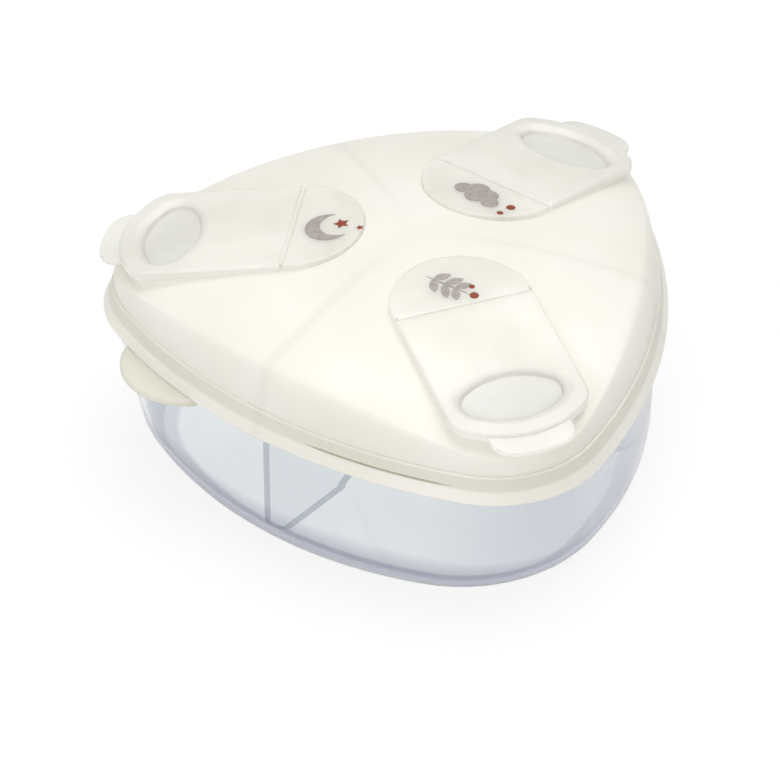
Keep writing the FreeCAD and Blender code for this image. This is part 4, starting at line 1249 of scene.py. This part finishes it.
class CONTAINER_OT_hinges(bpy.types.Operator):
    """Living hinges: the thin film between each anchor and its flap"""
    bl_idname = "container.hinges"
    bl_label = "Hinge films"

    def execute(self, context):
        size = sizes()
        side_reach = size["cap_half_width"] - HINGE_END_GAP
        for side in CORNERS:
            place = cap_place(size, side, "flap_tilt")
            steps = 8
            reach = HINGE_GAP + 0.05
            top, bottom = -HINGE_DROP + HINGE_FILM / 2, -HINGE_DROP - HINGE_FILM / 2
            section = [(-reach + 2 * reach * step / steps, top) for step in range(steps + 1)]
            section += [(reach - 2 * reach * step / steps, bottom) for step in range(steps + 1)]
            rings = [[Vector((x, y, z)) for x, z in section]
                     for y in (-side_reach, -side_reach / 2, 0, side_reach / 2, side_reach)]
            film = shell(f"hinge_{side}", rings, place, 30)
            finish_piece(film, None, "cap_plastic", cap_plastic(), f"cap_hinge_{side}")
            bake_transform(film)
        return {"FINISHED"}


# Studio
class CONTAINER_OT_studio(bpy.types.Operator):
    """Plain pale floor, soft light and the camera at the photograph's angle"""
    bl_idname = "container.studio"
    bl_label = "Studio"

    def execute(self, context):
        self.floor()
        self.world()
        self.lamps()
        self.camera(context)
        return {"FINISHED"}

    def floor(self):
        reach = 3.0
        # A hair below the bowl's base, so that the two faces don't lie in one plane and flicker
        level = -0.0003
        mesh = bpy.data.meshes.new("studio_floor")
        corners = ((-reach, -reach), (reach, -reach), (reach, reach), (-reach, reach))
        mesh.from_pydata([(x, y, level) for x, y in corners], [], [(0, 1, 2, 3)])
        floor = bpy.data.objects.new("studio_floor", mesh)
        bpy.context.scene.collection.objects.link(floor)
        material, tree, output = new_material("white_sweep")
        path = add_node(tree, "ShaderNodeLightPath")
        seen = add_node(tree, "ShaderNodeMath", {0: path.outputs["Is Camera Ray"],
                                                 1: path.outputs["Is Transmission Ray"]}, operation="MAXIMUM")
        share = add_node(tree, "ShaderNodeMath", {0: seen.outputs[0], 1: 0.8}, operation="MULTIPLY")
        paint = add_node(tree, "ShaderNodeBsdfPrincipled", {
            "Base Color": linear(bpy.context.scene.container_colours.floor), "Roughness": 0.35, "IOR": 1.3})
        glow = add_node(tree, "ShaderNodeEmission", {"Color": linear("FFFFFF"), "Strength": 1.0})
        mix = add_node(tree, "ShaderNodeMixShader", {0: share.outputs[0], 1: paint.outputs[0],
                                                     2: glow.outputs[0]})
        tree.links.new(mix.outputs[0], output.inputs["Surface"])
        mesh.materials.append(material)

    def world(self):
        world = bpy.data.worlds.new("studio")
        bpy.context.scene.world = world
        world.use_nodes = True
        tree = world.node_tree
        tree.nodes.clear()
        # Sky that is brighter overhead and to the front left than elsewhere, and plain white to the camera
        place = add_node(tree, "ShaderNodeTexCoord").outputs["Generated"]
        towards = add_node(tree, "ShaderNodeVectorMath", {0: place, 1: Vector((-0.45, -0.5, 0.74))},
                           operation="DOT_PRODUCT")
        strength = add_node(tree, "ShaderNodeMapRange", {"Value": towards.outputs["Value"], "From Min": -0.5,
                                                         "From Max": 0.9, "To Min": 0.4, "To Max": 0.95})
        sky = add_node(tree, "ShaderNodeBackground", {"Color": linear("F4F5F8"),
                                                      "Strength": strength.outputs[0]})
        white = add_node(tree, "ShaderNodeBackground", {"Color": linear("FFFFFF"), "Strength": 1.0})
        path = add_node(tree, "ShaderNodeLightPath")
        mix = add_node(tree, "ShaderNodeMixShader", {0: path.outputs["Is Camera Ray"], 1: sky.outputs[0],
                                                     2: white.outputs[0]})
        output = add_node(tree, "ShaderNodeOutputWorld")
        tree.links.new(mix.outputs[0], output.inputs["Surface"])

    def lamps(self):
        lamps = (
            ("top_softbox", (0.25, 0.1, 1.2), 1.2, 9.5),
            ("left_softbox", (-1.0, -0.9, 0.8), 0.7, 5.0),
        )
        for name, place, width, power in lamps:
            light = bpy.data.lights.new(name, "AREA")
            light.shape = "SQUARE"
            light.size = width
            light.energy = power
            lamp = bpy.data.objects.new(name, light)
            bpy.context.scene.collection.objects.link(lamp)
            aim = Vector((0, 0, 0.03)) - Vector(place)
            lamp.location = place
            lamp.rotation_euler = aim.to_track_quat("-Z", "Y").to_euler()

    def camera(self, context):
        azimuth, elevation = math.radians(CAMERA_AZIMUTH), math.radians(CAMERA_ELEVATION)
        back = Vector((math.sin(azimuth) * math.cos(elevation), -math.cos(azimuth) * math.cos(elevation),
                       math.sin(elevation)))
        right = Vector((math.cos(azimuth), math.sin(azimuth), 0))
        up = back.cross(right)
        shift_x = (IMAGE_WIDTH / 2 - TARGET_PIXEL[0]) / CAMERA_FOCAL_PIXELS
        shift_y = (IMAGE_HEIGHT / 2 - TARGET_PIXEL[1]) / CAMERA_FOCAL_PIXELS
        aim = -back + right * shift_x - up * shift_y
        lens = bpy.data.cameras.new("photo_camera")
        lens.sensor_fit = "HORIZONTAL"
        lens.sensor_width = SENSOR
        lens.lens = SENSOR * CAMERA_FOCAL_PIXELS / IMAGE_WIDTH
        camera = bpy.data.objects.new("photo_camera", lens)
        bpy.context.scene.collection.objects.link(camera)
        camera.location = CAMERA_TARGET + back * CAMERA_DISTANCE
        camera.rotation_euler = aim.to_track_quat("-Z", "Y").to_euler()
        context.scene.camera = camera
        context.scene.view_settings.view_transform = "Standard"


OPERATORS = (CONTAINER_OT_studio, CONTAINER_OT_bowl, CONTAINER_OT_divider, CONTAINER_OT_lid,
             CONTAINER_OT_flaps, CONTAINER_OT_anchors, CONTAINER_OT_prints, CONTAINER_OT_hinges)


class CONTAINER_PT_panel(bpy.types.Panel):
    """Sizes, colours and pieces of the container"""
    bl_idname = "CONTAINER_PT_panel"
    bl_label = "Milk powder container"
    bl_space_type = "VIEW_3D"
    bl_region_type = "UI"
    bl_category = "Container"

    def draw(self, context):
        for group in (context.scene.container_sizes, context.scene.container_colours):
            for name in group.__annotations__:
                self.layout.prop(group, name)
        for operator in OPERATORS:
            self.layout.operator(operator.bl_idname)


CLASSES = (ContainerSizes, ContainerColours) + OPERATORS + (CONTAINER_PT_panel,)


def register():
    for item in CLASSES:
        bpy.utils.register_class(item)
    bpy.types.Scene.container_sizes = bpy.props.PointerProperty(type=ContainerSizes)
    bpy.types.Scene.container_colours = bpy.props.PointerProperty(type=ContainerColours)


def unregister():
    del bpy.types.Scene.container_colours
    del bpy.types.Scene.container_sizes
    for item in reversed(CLASSES):
        bpy.utils.unregister_class(item)


def main():
    register()
    for operator in OPERATORS:
        group, name = operator.bl_idname.split(".")
        getattr(getattr(bpy.ops, group), name)()


if __name__ == "__main__":
    main()
